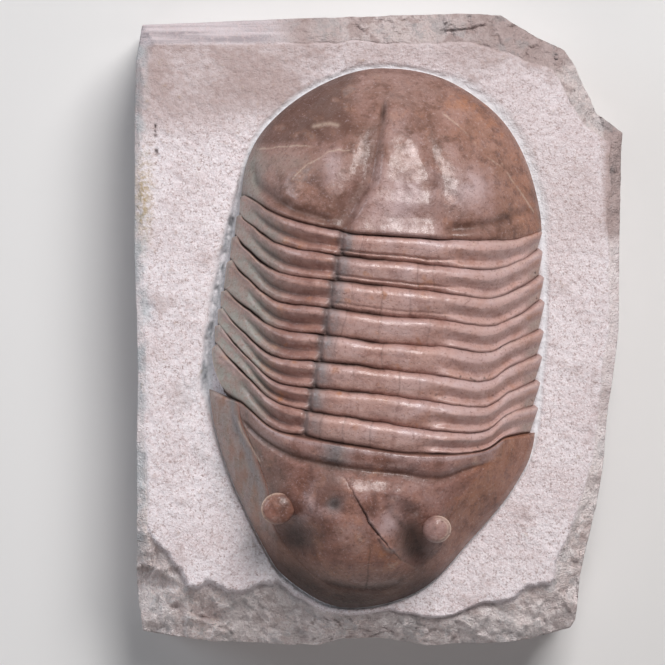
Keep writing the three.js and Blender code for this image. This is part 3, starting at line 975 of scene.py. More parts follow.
@dataclass
class Thorax:
    """Eight overlapping segments, each with an axial ring and two grooved pleurae.

    On a segment u runs from the left tip (0) to the right one (1), and v from the front seam to the hind
    one. The profiles give its height over v: on the ring, on the two bands beside it and at the tips.
    """

    back: Back
    seams: Seams
    finish: bpy.types.Material
    grain: Grain
    count: int = 8
    columns: int = 460
    rows: int = 44
    overlap: float = 0.05
    foot: float = 2.2
    left_furrow: float = 3 / 8
    right_furrow: float = 5 / 8
    groove: float = 0.4
    strength: float = 1.35
    axis_rise: float = 0.5
    cut_depth: float = 0.5
    cut_width: float = 0.0062
    lumpiness: float = 0.085
    hair_depth: float = 0.06
    blocks: tuple[float, ...] = (0.415, 0.455, 0.505, 0.56, 0.6)
    front_bands: tuple[float, ...] = (0, 0, 0, 0, 0, 0.105, 0.255, 0.3)
    ring: Profile = Profile((
        (-0.05, -1.4), (0, -0.8), (0.06, -0.46), (0.16, -0.14), (0.34, 0.16), (0.55, 0.38), (0.72, 0.48),
        (0.84, 0.38), (0.93, 0.04), (1, -0.5), (1.05, -1.4),
    ))
    left_band: Profile = Profile((
        (-0.05, -1.4), (0, -0.5), (0.06, -0.12), (0.16, -0.02), (0.28, -0.22), (0.4, -0.56), (0.5, -0.36),
        (0.62, 0.1), (0.76, 0.42), (0.87, 0.34), (0.95, -0.04), (1, -0.5), (1.05, -1.4),
    ))
    right_band: Profile = Profile((
        (-0.05, -1.2), (0, -0.3), (0.05, -0.04), (0.12, 0.06), (0.2, -0.04), (0.3, -0.3), (0.4, -0.42),
        (0.5, -0.22), (0.62, 0.2), (0.72, 0.42), (0.81, 0.36), (0.92, 0.08), (1, -0.2), (1.05, -1.2),
    ))
    left_tip: Profile = Profile((
        (-0.05, -1.4), (0, -0.62), (0.05, -0.14), (0.12, 0.06), (0.45, 0.0), (0.8, 0.02), (0.9, 0.14),
        (0.95, 0.02), (1, -0.5), (1.05, -1.4),
    ))
    right_tip: Profile = Profile((
        (-0.05, -1.7), (0, -0.95), (0.05, -0.66), (0.25, -0.5), (0.42, -0.34), (0.52, -0.02), (0.66, 0.3),
        (0.8, 0.42), (0.91, 0.26), (0.97, -0.1), (1, -0.4), (1.05, -1.4),
    ))

    def places(self, k: int, u: Array, v: Array) -> tuple[Array, Array]:
        """Lays a segment out between its two seams.

        Args:
            k: the segment's number.
            u: 0 at the left tip, 1 at the right.
            v: 0 at the front seam, 1 at the hind seam.

        Returns:
            p and q.
        """
        front_p, front_q = self.seams.point(k - 1, u)
        hind_p, hind_q = self.seams.point(k, u)
        p, q = between(front_p, hind_p, v), between(front_q, hind_q, v)
        ahead = 1 - np.clip(v, 0, 1)
        left = (0.095 * ahead ** 2 if k == 1 else 0.018 * ahead) + 0.05 * ease(v, 0.84, 1.04)
        right = 0.04 * ahead + 0.03 * ease(v, 0.9, 1.05)
        notch = np.where(u < 0.5, left, right) - 0.006
        middle = self.back.midline(q)
        p = middle + (p - middle) * (1 - notch * ease(np.abs(u - 0.5), 0.4, 0.5))
        wobble = 0.15 * self.grain.single(p, q + 31 * k, 0 * p, 3.1)
        wobble += 0.08 * self.grain.single(p, 0 * q, q, 1.0)
        return p, q + wobble * ease(np.abs(u - 0.5), 0.5, 0.4)

    def furrow_place(self, u: Array) -> Array:
        """v of the furrow along a pleura; on the left it runs out towards the hind edge."""
        return np.where(u < 0.5, between(0.35, 0.58, ease(u, 0.34, 0.12)), 0.3)

    def relief(self, k: int, u: Array, v: Array) -> Array:
        """Height of segment k above the smooth back.

        Args:
            k: the segment's number.
            u, v: places on the segment.

        Returns:
            Height in millimetres.
        """
        side = np.abs(u - 0.5)
        furrow = self.furrow_place(u)
        behind = self.groove + (v - furrow) / (1 - furrow) * (1 - self.groove)
        place = np.where(v < furrow, v / furrow * self.groove, behind)
        left = between(self.left_band(place), self.left_tip(v), ease(side, 0.27, 0.41))
        right = between(self.right_band(place), self.right_tip(v), ease(side, 0.385, 0.45))
        front_band = self.front_bands[k - 1] * hump(v, 0.24, 0.045)
        on_axis = np.where(u < 0.5, ease(side, 0.137, 0.121), ease(side, 0.175, 0.1))
        surface = between(np.where(u < 0.5, left, right), self.ring(v) - front_band, on_axis)
        raised = self.axis_rise * ease(side, 0.15, 0.06)
        cut = self.cut_depth * hump(u, self.left_edge(v), self.cut_width) * ease(v, -0.02, 0.1)
        cut += 0.1 * hump(u, self.right_furrow, 0.006)
        hollow = 0.24 * hump(u, self.left_furrow, 0.026) + 0.1 * hump(u, self.right_furrow, 0.03)
        return self.strength * surface + raised - cut - hollow

    def left_edge(self, v: Array) -> Array:
        """u of a ring's left end, which steps from ring to ring."""
        return self.left_furrow - 0.01 * (v - 0.5)

    def masks(self, u: Array, v: Array, p: Array, q: Array, f: dict[str, Array]) -> dict[Paint, Array]:
        """Where a segment is dark, hazed, olive or stained, with painted shade in its seams, furrows and
        creases and painted highlights on its ridges.

        Args:
            u, v: places on the segment.
            p, q: the same places in the animal's frame.
            f: relief, small noise, hairline cracks and tone at the places.

        Returns:
            One array per kind.
        """
        side = np.abs(u - 0.5)
        soft = self.grain.layers(p, q, 0 * p, 5.0, 4)
        small = f["small"]
        edge = self.left_edge(v)
        left_ring = ease(u, edge - 0.002, edge + 0.004) * ease(u + 0.02 * small, 0.53, 0.47)
        on_left = ease(u, 0.385, 0.37)
        seam = np.maximum(hump(v, 0.0, 0.05), hump(v, 1, 0.035))
        # painted shadow along the front and hind edges of the rings' left halves, where they curl under
        ring_underside_shadow = np.maximum(hump(v, 0.02, 0.11), hump(v, 1.0, 0.05)) * left_ring
        # creases on the outer left pleurae, dark with grime and painted shade
        creases = np.maximum(hump(v, 0.0, 0.06), hump(v, 1, 0.035)) * ease(side, 0.24, 0.33) * on_left
        furrow = hump(v, self.furrow_place(u), 0.1) * ease(side, 0.14, 0.18) * ease(side, 0.42, 0.28)
        cut = hump(u + 0.002 * small, edge, 0.009) * ease(v, -0.02, 0.05) * (0.85 + 0.3 * small)
        specks = self.grain.single(p + 9, q, 0 * p, 0.42)
        pits = 0.7 * ease(specks, 0.55, 0.8) * ease(soft, -0.2, 0.5) * ease(v, 0.5, 0.2)
        # seams dark with grime and painted shade, more on the left flank
        dirt = seam * (0.22 + 0.12 * small + 0.2 * on_left) + 0.52 * ring_underside_shadow + 0.85 * creases + 0.5 * cut
        # painted shade in the pleural furrows, strong on the left and slight on the right
        dirt += furrow * np.where(u < 0.5, between(0.28, 0.65, ease(side, 0.17, 0.26)), 0.06)
        dirt += 0.5 * f["hairs"] + pits
        facet = ease(v, 0.5, 0.36) * ease(side, 0.41, 0.46) * ease(u, 0.6, 0.7)
        # olive-grey on the left flank: partly grey patina, partly a painted cool cast of the light on that
        # side
        olive = ease(-(p - self.back.midline(q)), 13.5, 19.0) * (0.95 + 0.25 * soft)
        olive *= between(0.35, 1.0, np.maximum(ease(v, 0.8, 0.55), ease(side, 0.45, 0.49)))
        # pale bloom, with painted highlight where the relief is high and on the ridges' hind shoulders,
        # lighter on the right pleurae
        haze = ease(f["relief"], 0.35, 1.0) * ease(soft, -0.7, 0.9) * ease(u, 0.3, 0.5) * 0.55
        haze += 0.35 * ease(v, 0.62, 0.84) * ease(soft, -0.4, 0.8)
        haze += (0.22 + 0.25 * small) * ease(u, 0.56, 0.66) + 0.03
        tips = ease(side, 0.37, 0.45) * ease(v, 0.45, 0.6) * ease(u, 0.5, 0.8)
        rust = 0.9 * ease(small, 0.35, 1.0) + 0.35 * ease(soft, 0.1, 0.8) * ease(v, 0.9, 0.5)
        rust += 0.6 * tips * (1 - facet)
        ink = hump(u + 0.008 * small, edge + 0.017, 0.015) * ease(v, 0.05, 0.3) * (0.6 + 0.35 * small)
        rim = ease(side, 0.485, 0.499) * on_left
        # painted glint along the hind shoulders of the pleurae, laid in the vein mask
        glint = hump(v, 0.9, 0.04) * ease(side, 0.22, 0.32) * ease(small, -0.6, 0.4)
        # left pleurae darker and right ones lighter, partly their own colour and partly painted shade of
        # the left flank; the tone also takes the crests' painted highlight and the furrows' painted shade
        lean = between(-0.5, 0.5, ease(u, 0.365, 0.385)) + 0.25 * ease(u, 0.58, 0.68)
        tone = f["tone"] + 0.7 * self.crest(u, v) - 0.5 * furrow + lean + 0.25 * small
        return {
            Paint.DIRT: np.clip(dirt, 0, 1),
            Paint.HAZE: np.clip(haze * (1 - 0.5 * facet), 0, 0.8),
            Paint.OLIVE: np.clip(np.maximum(olive, 0.6 * facet), 0, 1),
            Paint.RUST: np.clip(rust, 0, 1),
            Paint.INK: np.clip(np.maximum(ink, 0.7 * cut), 0, 0.85),
            Paint.VEIN: np.clip(0.35 * ease(small, 0.95, 1.3) + 0.5 * rim + 0.25 * glint, 0, 1),
            Paint.TONE: np.clip(tone, -1, 1),
        }

    def crest(self, u: Array, v: Array) -> Array:
        """Finds where the ridges catch the light: one line on a ring, two on a right pleura.

        Args:
            u, v: places on the segment.

        Returns:
            Strength of the light line.
        """
        on_right = ease(u, self.right_furrow - 0.02, self.right_furrow + 0.04)
        ridge = hump(v, 0.77, 0.1) + 0.6 * hump(v, 0.12, 0.06) * on_right
        return ridge * between(0.5, 0.9, ease(u, 0.35, 0.6))

    def cracks(self, k: int, u: Array, v: Array, small: Array) -> tuple[Array, Array]:
        """Hairline fractures across a ring, and the differing tones of the blocks between them.

        Args:
            k: the segment's number, which also seeds the choice.
            u, v: places on the segment.
            small: noise that makes the fractures ragged.

        Returns:
            Strength of the fractures, and the tone, dark below 0 and light above.
        """
        rng = np.random.default_rng(90 + k)
        hairs = np.zeros_like(u)
        tone = np.zeros_like(u)
        for centre in self.blocks:
            at = centre + rng.uniform(-0.014, 0.014) + 0.002 * np.sin(5 * v + 2 * k) + 0.0015 * small
            hairs = np.maximum(hairs, max(0.0, rng.uniform(-0.5, 0.8)) * hump(u, at, 0.0016))
            tone = np.where(u > at, rng.uniform(-0.5, 0.5), tone)
        fade = ease(u, self.right_furrow + 0.03, self.right_furrow)
        return hairs, tone * fade

    def segment(self, k: int) -> bpy.types.Object:
        """Makes segment k, dressed and in place.

        Args:
            k: 1 next to the head, 8 next to the tail shield.

        Returns:
            The piece that stands for the segment's node.
        """
        along = np.linspace(-self.overlap, 1 + self.overlap, self.rows)
        u, v = np.meshgrid(np.linspace(0, 1, self.columns), along)
        p, q = self.places(k, u, v)
        relief = self.relief(k, u, v)
        small = self.grain.layers(p + 50, q, 0 * p, 1.2, 3)
        hairs, tone = self.cracks(k, u, v, small)
        lumps = self.lumpiness * self.grain.layers(p, q, 0 * p, 3.0, 5, 0.6)
        lumps += 0.05 * self.grain.layers(0.3 * p, 1.7 * q, 0 * p, 1.3, 3)
        height = relief * (1 - 0.2 * ease(np.abs(u - 0.5), 0.46, 0.5)) + lumps - self.hair_depth * hairs
        masks = self.masks(u, v, p, q, {"relief": relief, "small": small, "hairs": hairs, "tone": tone})
        grid = self.back.lay(p, q, height, masks)
        piece = closed_plate(f"segment_shell_{k}", grid, self.foot, as_strip=True)
        return dress(piece, self.finish, "thorax_shell", f"thoracic_segment_{k}")

    def build(self) -> None:
        """Makes all segments."""
        for k in range(1, self.count + 1):
            self.segment(k)


def dress(piece: bpy.types.Object, finish: bpy.types.Material, slot: str, *nodes: str) -> bpy.types.Object:
    """Gives a piece its material and ties it to the frame.

    Args:
        piece: the object.
        finish: its material.
        slot: not used.
        nodes: the CAD nodes that it stands for.

    Returns:
        The same piece.
    """
    piece.data.materials.append(finish)
    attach(piece, "root")
    if nodes:
        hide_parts(*nodes)
    return piece


# ---------------------------------------------------------------- tail shield and head


@dataclass
class Shield:
    """What the tail shield and the head share: a sheet from a seam out to the margin."""

    back: Back
    seams: Seams
    finish: bpy.types.Material
    grain: Grain

    def sheet(self, left: tuple[Array, Array], right: tuple[Array, Array], foot: tuple[Array, Array],
              u: Array, v: Array) -> tuple[Array, Array]:
        """Fills the space between two side lines and a foot line.

        Args:
            left, right: p and q of the sides at every v.
            foot: p and q of the foot line at every u.
            u, v: the sheet's own coordinates; v is 0 at the foot.

        Returns:
            p and q of the sheet.
        """
        fade = (1 - v) ** 2
        result = []
        for axis in range(2):
            straight = between(left[axis], right[axis], u)
            start = between(left[axis][0, 0], right[axis][0, 0], u)
            result.append(straight + fade * (foot[axis] - start))
        return result[0], result[1]


@dataclass
class TailShield(Shield):
    """The smooth fan-shaped shield with its low, lop-sided axis."""

    columns: int = 340
    rows: int = 210
    foot: float = 2.2
    tuck: float = 0.25
    blunt: float = 0.03
    axis_heights: tuple[float, float] = (0.95, 0.55)
    step_depth: float = 0.6
    lumpiness: float = 0.11
    vein_depth: float = 0.04
    left_furrow: Profile = Profile((
        (14, -5.4), (15.1, -4.9), (19.8, -2.9), (23.7, -0.8), (28.2, -0.3), (32.7, 0.1), (36.5, 0.3),
        (40, 0.6),
    ))
    right_furrow: Profile = Profile((
        (14, 10.6), (16.8, 10.2), (20.5, 9.4), (24.9, 8.7), (27.6, 7.3), (31.8, 5.7), (34.8, 5.1),
        (37.8, 4.2), (40, 3.6),
    ))
    front_edge: Profile = Profile((
        (-0.6, -1.5), (-0.25, -1.4), (0, -0.55), (0.25, 0.05), (0.7, 0.32), (1.4, 0.24), (2.6, 0.05),
        (4, 0),
    ))
    left_rib: tuple[Point, ...] = (
        (-18.9, 24.4), (-18.1, 22.4), (-16.9, 21.2), (-14.6, 19.6), (-12.3, 18.4), (-7.5, 17.2),
    )
    right_rib: tuple[Point, ...] = ((11, 16.8), (14, 17.1), (17.4, 17.9), (20.6, 19.2), (22.4, 20.2))
    veins: tuple[tuple[Point, ...], ...] = (
        ((-18.2, 27.3), (-13.6, 27.9), (-9.9, 28.1)),
        ((-12.5, 22.8), (-10.4, 25.1), (-7.7, 27.3), (-4.4, 27.7)),
        ((9.5, 33.8), (12.1, 32.0), (16.4, 27.7), (18.1, 26.7)),
        ((18.3, 27.2), (20.0, 24.7), (21.8, 22.6), (23.8, 20.0)),
    )
    fleck: tuple[Point, ...] = ((-9.9, 31.1), (-7.6, 31.6), (-6.4, 31.4))
    lumps: tuple[Spot, ...] = (
        Spot(2.4, 35.0, 1.9, 1.0, 0.4), Spot(2.4, 36.7, 2.4, 0.6, -0.3),
        Spot(-7.6, 24.5, 2.6, 4.0, 0.35), Spot(13.5, 23, 4.5, 4.0, 0.3),
    )
    # pale bloom, with painted sheen: the broad highlights on the right of the shield and, in the spot
    # below, on its axis
    hazy: tuple[Spot, ...] = (
        Spot(14.0, 23.0, 4.6, 3.6), Spot(12.0, 29.4, 3.6, 1.6, 0.6), Spot(-6.6, 25.5, 1.6, 3.2, 0.8),
    )
    axis_haze: Spot = Spot(4.2, 23.5, 4.5, 6.0, 0.95)
    hind_shade: Spot = Spot(1.5, 37.2, 3.0, 1.3, 0.35)
    rusty: Spot = Spot(-12.5, 22.8, 3.5, 2.5, 0.4)
    green: Spot = Spot(-13.5, 25.5, 4.5, 1.8, 0.3)
    light: Spot = Spot(-13.0, 25.6, 5.0, 1.7, 0.5)

    def relief(self, p: Array, q: Array) -> tuple[Array, dict[str, Array]]:
        """Height above the smooth back.

        Args:
            p, q: places in the animal's frame.

        Returns:
            The height, and the fields that the masks are made from.
        """
        left, right = self.left_furrow(q), self.right_furrow(q)
        gap = q - self.seams.q_at(8, p)
        fade = ease(q, 39.4, 35.5)
        on_axis = ease(p, left - 0.5, left + 1.5) * ease(p, right + 1.4, right - 1.9)
        axis = on_axis * between(*self.axis_heights, ease(q, 16, 34)) * fade
        left_dip = 0.75 * hump(p - left, -1.0, 1.7) * ease(q, 36, 26) + 0.12 * hump(p - left, 0, 0.5) * fade
        right_dip = 0.16 * hump(p - right, 0.3, 1.2) * fade
        step = hump(q, 33.6, 1.5) * hump(p - left, 0.1, 0.4)
        rib = stroke(p, q, self.left_rib, 0.85) * ease(p, -20, -18)
        rib += 0.65 * stroke(p, q, self.right_rib, 0.7) * ease(p, 9.5, 12)
        flank = ease(p, -5, -7.5) + ease(p, 10, 12.5)
        lower = between(1.0, 0.6, ease(p, 8, 12) * ease(gap, -0.2, 0.0))
        edge = self.front_edge(gap / between(0.7, 1.0, flank)) * lower
        folds = 0.06 * np.sin(gap * 1.5 + 0.5) * ease(gap, 1.5, 3) * ease(q, 29, 21) * (0.25 + on_axis)
        height = axis + patches(self.lumps, p, q) - left_dip - right_dip - self.step_depth * step
        height += edge - rib + folds
        fields = {
            "dip": left_dip, "step": step, "gap": gap, "axis": on_axis, "rib": rib,
            "t": p - self.back.midline(q),
            "band": ease(p, -7, -10) * ease(gap, 0.0, 0.6) * ease(gap, 4.5, 2.0) * (1 - rib),
        }
        return height, fields

    def masks(self, p: Array, q: Array, f: dict[str, Array]) -> tuple[dict[Paint, Array], Array]:
        """Where the shield is dark, hazed, veined or stained, with painted shade in its hollows and on its
        upper left, and painted sheen on its raised parts.

        Args:
            p, q: places in the animal's frame.
            f: the fields from the relief.

        Returns:
            The masks, and the strength of the hairline cracks.
        """
        soft = self.grain.layers(p, q, 0 * p + 9, 9.0, 5)
        small = self.grain.layers(p, q, 0 * p + 3, 2.2, 4)
        speckle = ease(self.grain.layers(p, q, 0 * p + 60, 1.6, 3), 0.0, 0.5)
        out = self.back.outward(p, q)
        wobble = 0.3 * small
        vein = np.zeros_like(p)
        for line in self.veins:
            vein = np.maximum(vein, stroke(p + wobble, q - wobble, line, 0.11))
        # painted shade: the upper left of the shield, darker towards its margin
        above = (q + 0.6 * wobble) - (27.6 + 0.08 * (p + 18))
        zone = ease(above, -0.3, 1.2) * ease(p, -2.5, -6.0) * (0.35 + 0.65 * ease(out, 0.72, 0.9))
        # grime and painted shade in the front seam, the rib groove, the furrow's step, the hollow by the
        # left furrow and along the rolled margin
        dirt = 0.5 * hump(f["gap"], 0, 0.2) * ease(p, 12, 6) + 0.42 * f["rib"] + 0.75 * f["step"]
        dirt += 0.34 * np.clip(f["dip"], 0, 1) + self.hind_shade(p, q) * ease(small, -0.5, 0.4)
        dirt += 0.28 * zone * (0.75 + 0.5 * soft)
        dirt += 0.25 * ease(out, 0.93, 1.0) * ease(small, -0.3, 0.6)
        # pale bloom, with painted sheen where broad highlights lie on the right of the shield and on its
        # axis
        haze = patches(self.hazy, p, q) + f["axis"] * (self.axis_haze(p, q) + 0.3 * ease(q, 36, 28))
        haze = 0.8 * haze * ease(soft + 0.6 * small, -0.9, 0.9)
        rust = 0.95 * hump(p - self.right_furrow(q), 0.2, 0.9) * speckle
        rust *= ease(q, 24.5, 28) * ease(q, 35, 31)
        rust += 0.6 * ease(out, 0.66, 0.9) * ease(f["t"], 4, 13) * (0.6 + 0.4 * speckle)
        rust += 0.5 * ease(small, 0.4, 1.1) + self.rusty(p, q) * speckle
        olive = 0.85 * ease(p, -16.0, -18.5) * ease(q, 30, 24) + self.green(p, q)
        # tone: random, with painted shade in the hollow by the left furrow and on the upper left
        tone = self.light(p, q) + 0.4 * small - 0.5 * f["dip"] - 1.15 * zone
        tone += 0.3 * f["axis"] + 0.5 * f["band"]
        line = 0.55 * vein * ease(small, -0.8, 0.3) + 0.5 * stroke(p, q, self.fleck, 0.32)
        masks = {
            Paint.DIRT: np.clip(dirt, 0, 1),
            Paint.HAZE: np.clip(haze, 0, 0.85),
            Paint.OLIVE: np.clip(olive, 0, 1),
            Paint.RUST: np.clip(rust, 0, 1),
            Paint.INK: np.clip(0.35 * ease(small, 0.6, 1.2) * ease(f["t"], 4, -4), 0, 1),
            Paint.VEIN: np.clip(line, 0, 0.8),
            Paint.TONE: np.clip(tone, -1, 1),
        }
        return masks, vein

    def build(self) -> None:
        """Makes the tail shield."""
        u, v = np.meshgrid(np.linspace(0, 1, self.columns), np.linspace(0, 1, self.rows))
        foot = self.seams.point(8, u)
        first, last = (self.back.angle(foot[0][0, end], foot[1][0, end]) for end in (0, -1))
        left = self.back.margin_point(between(first, math.pi / 2 + self.blunt, v))
        right = self.back.margin_point(between(last, math.pi / 2 - self.blunt, v))
        p, q = self.sheet(left, right, (foot[0], foot[1] - self.tuck), u, v)
        height, fields = self.relief(p, q)
        masks, vein = self.masks(p, q, fields)
        height += self.lumpiness * self.grain.layers(p, q, 0 * p, 5.0, 6, 0.55)
        height *= between(1.0, 0.2, ease(self.back.outward(p, q), 0.9, 1.0))
        height -= self.vein_depth * vein
        piece = closed_plate("tail_shell", self.back.lay(p, q, height, masks), self.foot)
        dress(piece, self.finish, "tail_shell", "pygidium")


@dataclass(frozen=True)
class Eye:
    """One eye on its short stalk; outward is the direction in which it looks."""

    name: str
    place: Point
    outward: float
    paleness: float
    size: float
    second_arc: float
    spokes: int = 120
    rings: int = 56
    base: float = 0.75
    outline: Profile = Profile((
        (0, 2.5), (0.14, 2.3), (0.26, 2.2), (0.38, 2.25), (0.48, 2.42), (0.57, 2.42), (0.67, 2.18),
        (0.79, 1.62), (0.9, 0.9), (1, 0),
    ))
    height: Profile = Profile((
        (0, -4.5), (0.14, -0.9), (0.26, 0.1), (0.38, 0.8), (0.48, 1.3), (0.57, 1.75), (0.67, 2.2),
        (0.79, 2.6), (0.9, 2.8), (1, 2.86),
    ))


@dataclass
class Head(Shield):
    """Cranidium and two free cheeks, parted by the facial sutures, and the eyes."""

    cheek_finish: bpy.types.Material
    columns: int = 330
    rows: int = 250
    cheek_rows: int = 60
    cheek_columns: int = 300
    foot: float = 1.6
    cheek_foot: float = 2.2
    blunt: float = 0.013
    glabella_height: float = 1.1
    arc_depth: float = 0.34
    lift_height: float = 0.42
    crack_depth: float = 0.3
    lumpiness: float = 0.1
    left_suture: tuple[Point, ...] = (
        (-18.9, -10.55), (-18.4, -13.4), (-15.8, -18.8), (-13.9, -23.4), (-13.6, -26.2), (-12.2, -29.8),
        (-8.6, -34), (-4.8, -36.8), (0.7, -39),
    )
    right_suture: tuple[Point, ...] = (
        (20.6, -13.7), (19, -17.2), (16, -21.2), (13.7, -25), (13.2, -28), (11.8, -31.4), (8.4, -34.8),
        (4.8, -37.3), (0.7, -39),
    )
    left_line: tuple[Point, ...] = (
        (-18.85, -13.5), (-18.25, -15.05), (-17.25, -16.5), (-16.4, -17.7), (-15.4, -19.2),
    )
    hind_furrow: Profile = Profile((
        (-19.6, -12.2), (-17.9, -13.5), (-16.85, -14.45), (-15.75, -15.35), (-14.15, -16.4), (-12.8, -17.1),
        (-11.5, -17.7), (-9.9, -18.35), (-7.9, -18.7), (-4, -19.3), (1, -19.75), (6.3, -20), (9.3, -20.4),
        (11.35, -20.4), (12.95, -20), (14.35, -19.3), (16.1, -18.6), (18.5, -17.8), (22, -17),
    ))
    fracture: tuple[Point, ...] = (
        (-4.2, -18.6), (-2.4, -21.0), (-0.9, -23.5), (0.4, -25.7), (1.9, -28.1), (3.3, -29.6), (4.6, -30.9),
        (6.2, -32.6), (9.1, -34.5),
    )
    lip: tuple[Point, ...] = ((3.2, -29.6), (4.1, -30.9), (5.0, -31.3))
    crease: tuple[Point, ...] = ((4.0, -25.2), (4.9, -26.3), (6.0, -27.5))
    left_ridge: tuple[Point, ...] = ((-12, -23.2), (-9.8, -24.6), (-6.8, -26.2), (-4.0, -27.8))
    right_ridge: tuple[Point, ...] = ((11.4, -25.6), (8.4, -24.2), (5.5, -22.6))
    hind_band: Profile = Profile((
        (-0.4, -1.5), (-0.1, -1.1), (0, -0.5), (0.07, 0.1), (0.16, 0.34), (0.4, 0.4), (0.66, 0.26),
        (0.84, -0.1), (1, -0.5), (1.16, -0.3), (1.45, 0.0), (2, 0.05),
    ))
    bulge: Spot = Spot(0.8, -33, 6.5, 4.6, 0.6)
    bulge_light: Spot = Spot(0.9, -33.5, 5.5, 3.8)
    left_pit: tuple[Spot, ...] = (Spot(-10.0, -30.0, 2.3, 2.3), Spot(-7.5, -31.5, 2.2, 2.2, 0.5))
    right_pit: tuple[Spot, ...] = (Spot(8.3, -31.4, 2.4, 2.4), Spot(7.6, -28.6, 1.9, 1.9, 0.75))
    rear_pits: tuple[Spot, ...] = (Spot(7.2, -25.6, 1.6, 1.6), Spot(-13.0, -21.6, 1.8, 1.8, 0.6))
    dent: Spot = Spot(-4.0, -24.7, 1.9, 1.9)
    shades: tuple[Spot, ...] = (Spot(-4.8, -21.0, 2.2, 2.2, 0.45), Spot(-3.8, -24.9, 0.8, 0.8, 0.6))
    # pale bloom, with painted highlights beside the left eye
    hazy: tuple[Spot, ...] = (
        Spot(8.5, -22.5, 4.6, 2.3, 0.25), Spot(-8.4, -23.2, 2.4, 2.4, 0.7),
        Spot(-7.4, -25.6, 2.9, 2.9, 0.75), Spot(4.5, -27.4, 1.8, 1.8, 0.6),
    )
    blue: tuple[Spot, ...] = (Spot(-4.0, -24.9, 0.9, 0.9, 0.9), Spot(-9.2, -30.2, 1.5, 1.5, 0.35))
    eyes: tuple[Eye, ...] = (
        Eye("eye_left", (-12.3, -26.1), outward=0.9 * math.pi, paleness=0.75, size=1.0, second_arc=0.0),
        Eye("eye_right", (11.5, -27.9), outward=0.05 * math.pi, paleness=0.95, size=0.86, second_arc=1.0),
    )

    def suture(self, side: int, v: Array) -> tuple[Array, Array]:
        """Point of the facial suture on one side: 0 is its hind end, 1 its front end."""
        line = np.array(self.left_suture if side < 0 else self.right_suture)
        return spline(line[:, 0], v), spline(line[:, 1], v)

    def relief(self, p: Array, q: Array) -> tuple[Array, dict[str, Array]]:
        """Height above the smooth back.

        Args:
            p, q: places in the animal's frame.

        Returns:
            The height, and the fields that the masks are made from.
        """
        t = p - self.back.midline(q)
        seam = self.seams.q_at(0, p)
        behind = (seam - q) / np.maximum(seam - self.hind_furrow(p), 1.2)
        reach = ease(t, -20.5, -18) * ease(t, 19, 14.5)
        band = self.hind_band(behind)
        band = np.where(behind > 0.16, between(0.25, band, reach), band)
        half = between(7.4, 10.4, ease(-q, 20, 31))
        forward = ease(-q, 38.8, 33.0) * ease(behind, 0.95, 2.0)
        glabella = self.glabella_height * ease(np.abs(t), half + 1.8, half - 3.0) * forward
        arc = self.arc_depth * hump(-q + 0.028 * (t - 0.5) ** 2, 37.4, 0.55) * ease(np.abs(t - 0.5), 7, 4)
        left, right = patches(self.left_pit, p, q), patches(self.right_pit, p, q)
        rear, dent = patches(self.rear_pits, p, q), self.dent(p, q)
        ridges = 0.6 * stroke(p, q, self.left_ridge, 1.8) + 0.4 * stroke(p, q, self.right_ridge, 1.3)
        skirt = patches([Spot(*eye.place, 3.3, 3.3, 0.2) for eye in self.eyes], p, q)
        ragged = p + 0.3 * self.grain.single(p, q, 0 * p, 1.9)
        ragged += 0.16 * self.grain.single(p, q, 0 * p + 5, 0.8)
        gap, side = line_gap(ragged, q, self.fracture)
        lift = self.lift_height * np.where(side > 0, np.exp(-gap / 2.6), 0)
        lift *= ease(q, -34.5, -30) * ease(q, -20, -25.5)
        crack = hump(gap, 0, 0.15) * (0.25 + 0.75 * ease(q, -31.0, -29.4))
        crack *= between(1, 0.25, ease(q, -25.5, -23.5)) * ease(q, -17.8, -19.6)
        lip, crease = stroke(p, q, self.lip, 0.34), stroke(ragged, q, self.crease, 0.55)
        height = band + glabella + self.bulge(t, q) + ridges + skirt + lift + 0.5 * lip - arc
        height -= 1.55 * left + 2.0 * right + rear + 0.3 * dent + self.crack_depth * crack + 0.25 * crease
        fields = {
            "t": t, "behind": behind, "arc": arc, "left": left, "right": right, "rear": rear, "dent": dent,
            "crack": crack, "crease": crease, "lip": lip, "reach": reach, "lift": lift,
        }
        return height, fields

    def masks(self, p: Array, q: Array, f: dict[str, Array]) -> dict[Paint, Array]:
        """Where the head is dark, hazed, olive, veined or stained, with painted shade in its pits and
        furrows and on its front, and painted highlights on raised edges.

        Args:
            p, q: places in the animal's frame.
            f: the fields from the relief.

        Returns:
            One array per kind.
        """
        soft = self.grain.layers(p, q, 0 * p + 20, 7.0, 5)
        small = self.grain.layers(p, q, 0 * p + 15, 2.0, 4)
        blotch = ease(self.grain.layers(p, q, 0 * p + 40, 3.0, 4), -0.1, 0.5)
        t, behind = f["t"], f["behind"]
        # the front of the head, which faces away from the light: painted shade in the darkening and the
        # tone
        front = ease(-q + 0.02 * t * t, 34, 41)
        band = ease(behind, 1.0, 0.75) * ease(behind, 0.05, 0.2)
        bulge = self.bulge_light(t, q)
        median = hump(t + 0.25 * small, 1.1, 0.13) * ease(-q, 29.5, 32) * ease(-q, 38.0, 36.5)
        # grime and painted shade: the seam, the hind furrow, the pits by the eyes, the dent, the arc, the
        # crack and the front
        dirt = 0.75 * hump(behind, 0, 0.07)
        dirt += hump(behind, 1.0, 0.16) * f["reach"] * (0.35 + 0.3 * ease(t, 6, -6))
        dirt += 0.8 * np.clip(f["left"], 0, 1) + 0.95 * np.clip(f["right"], 0, 1) + 0.35 * f["rear"]
        dirt += 0.3 * hump(t, -5.0, 1.7) * ease(behind, 1.05, 0.8) + 0.4 * f["dent"] + 0.9 * f["arc"]
        dirt += patches(self.shades, p, q) + 0.65 * f["crack"] * ease(q, -33, -30.4)
        dirt += 0.35 * f["crease"] + 1.35 * front * (0.9 + 0.3 * soft)
        dirt += 0.4 * ease(-t, 3, 11) * ease(-q, 28, 34) + 0.4 * median
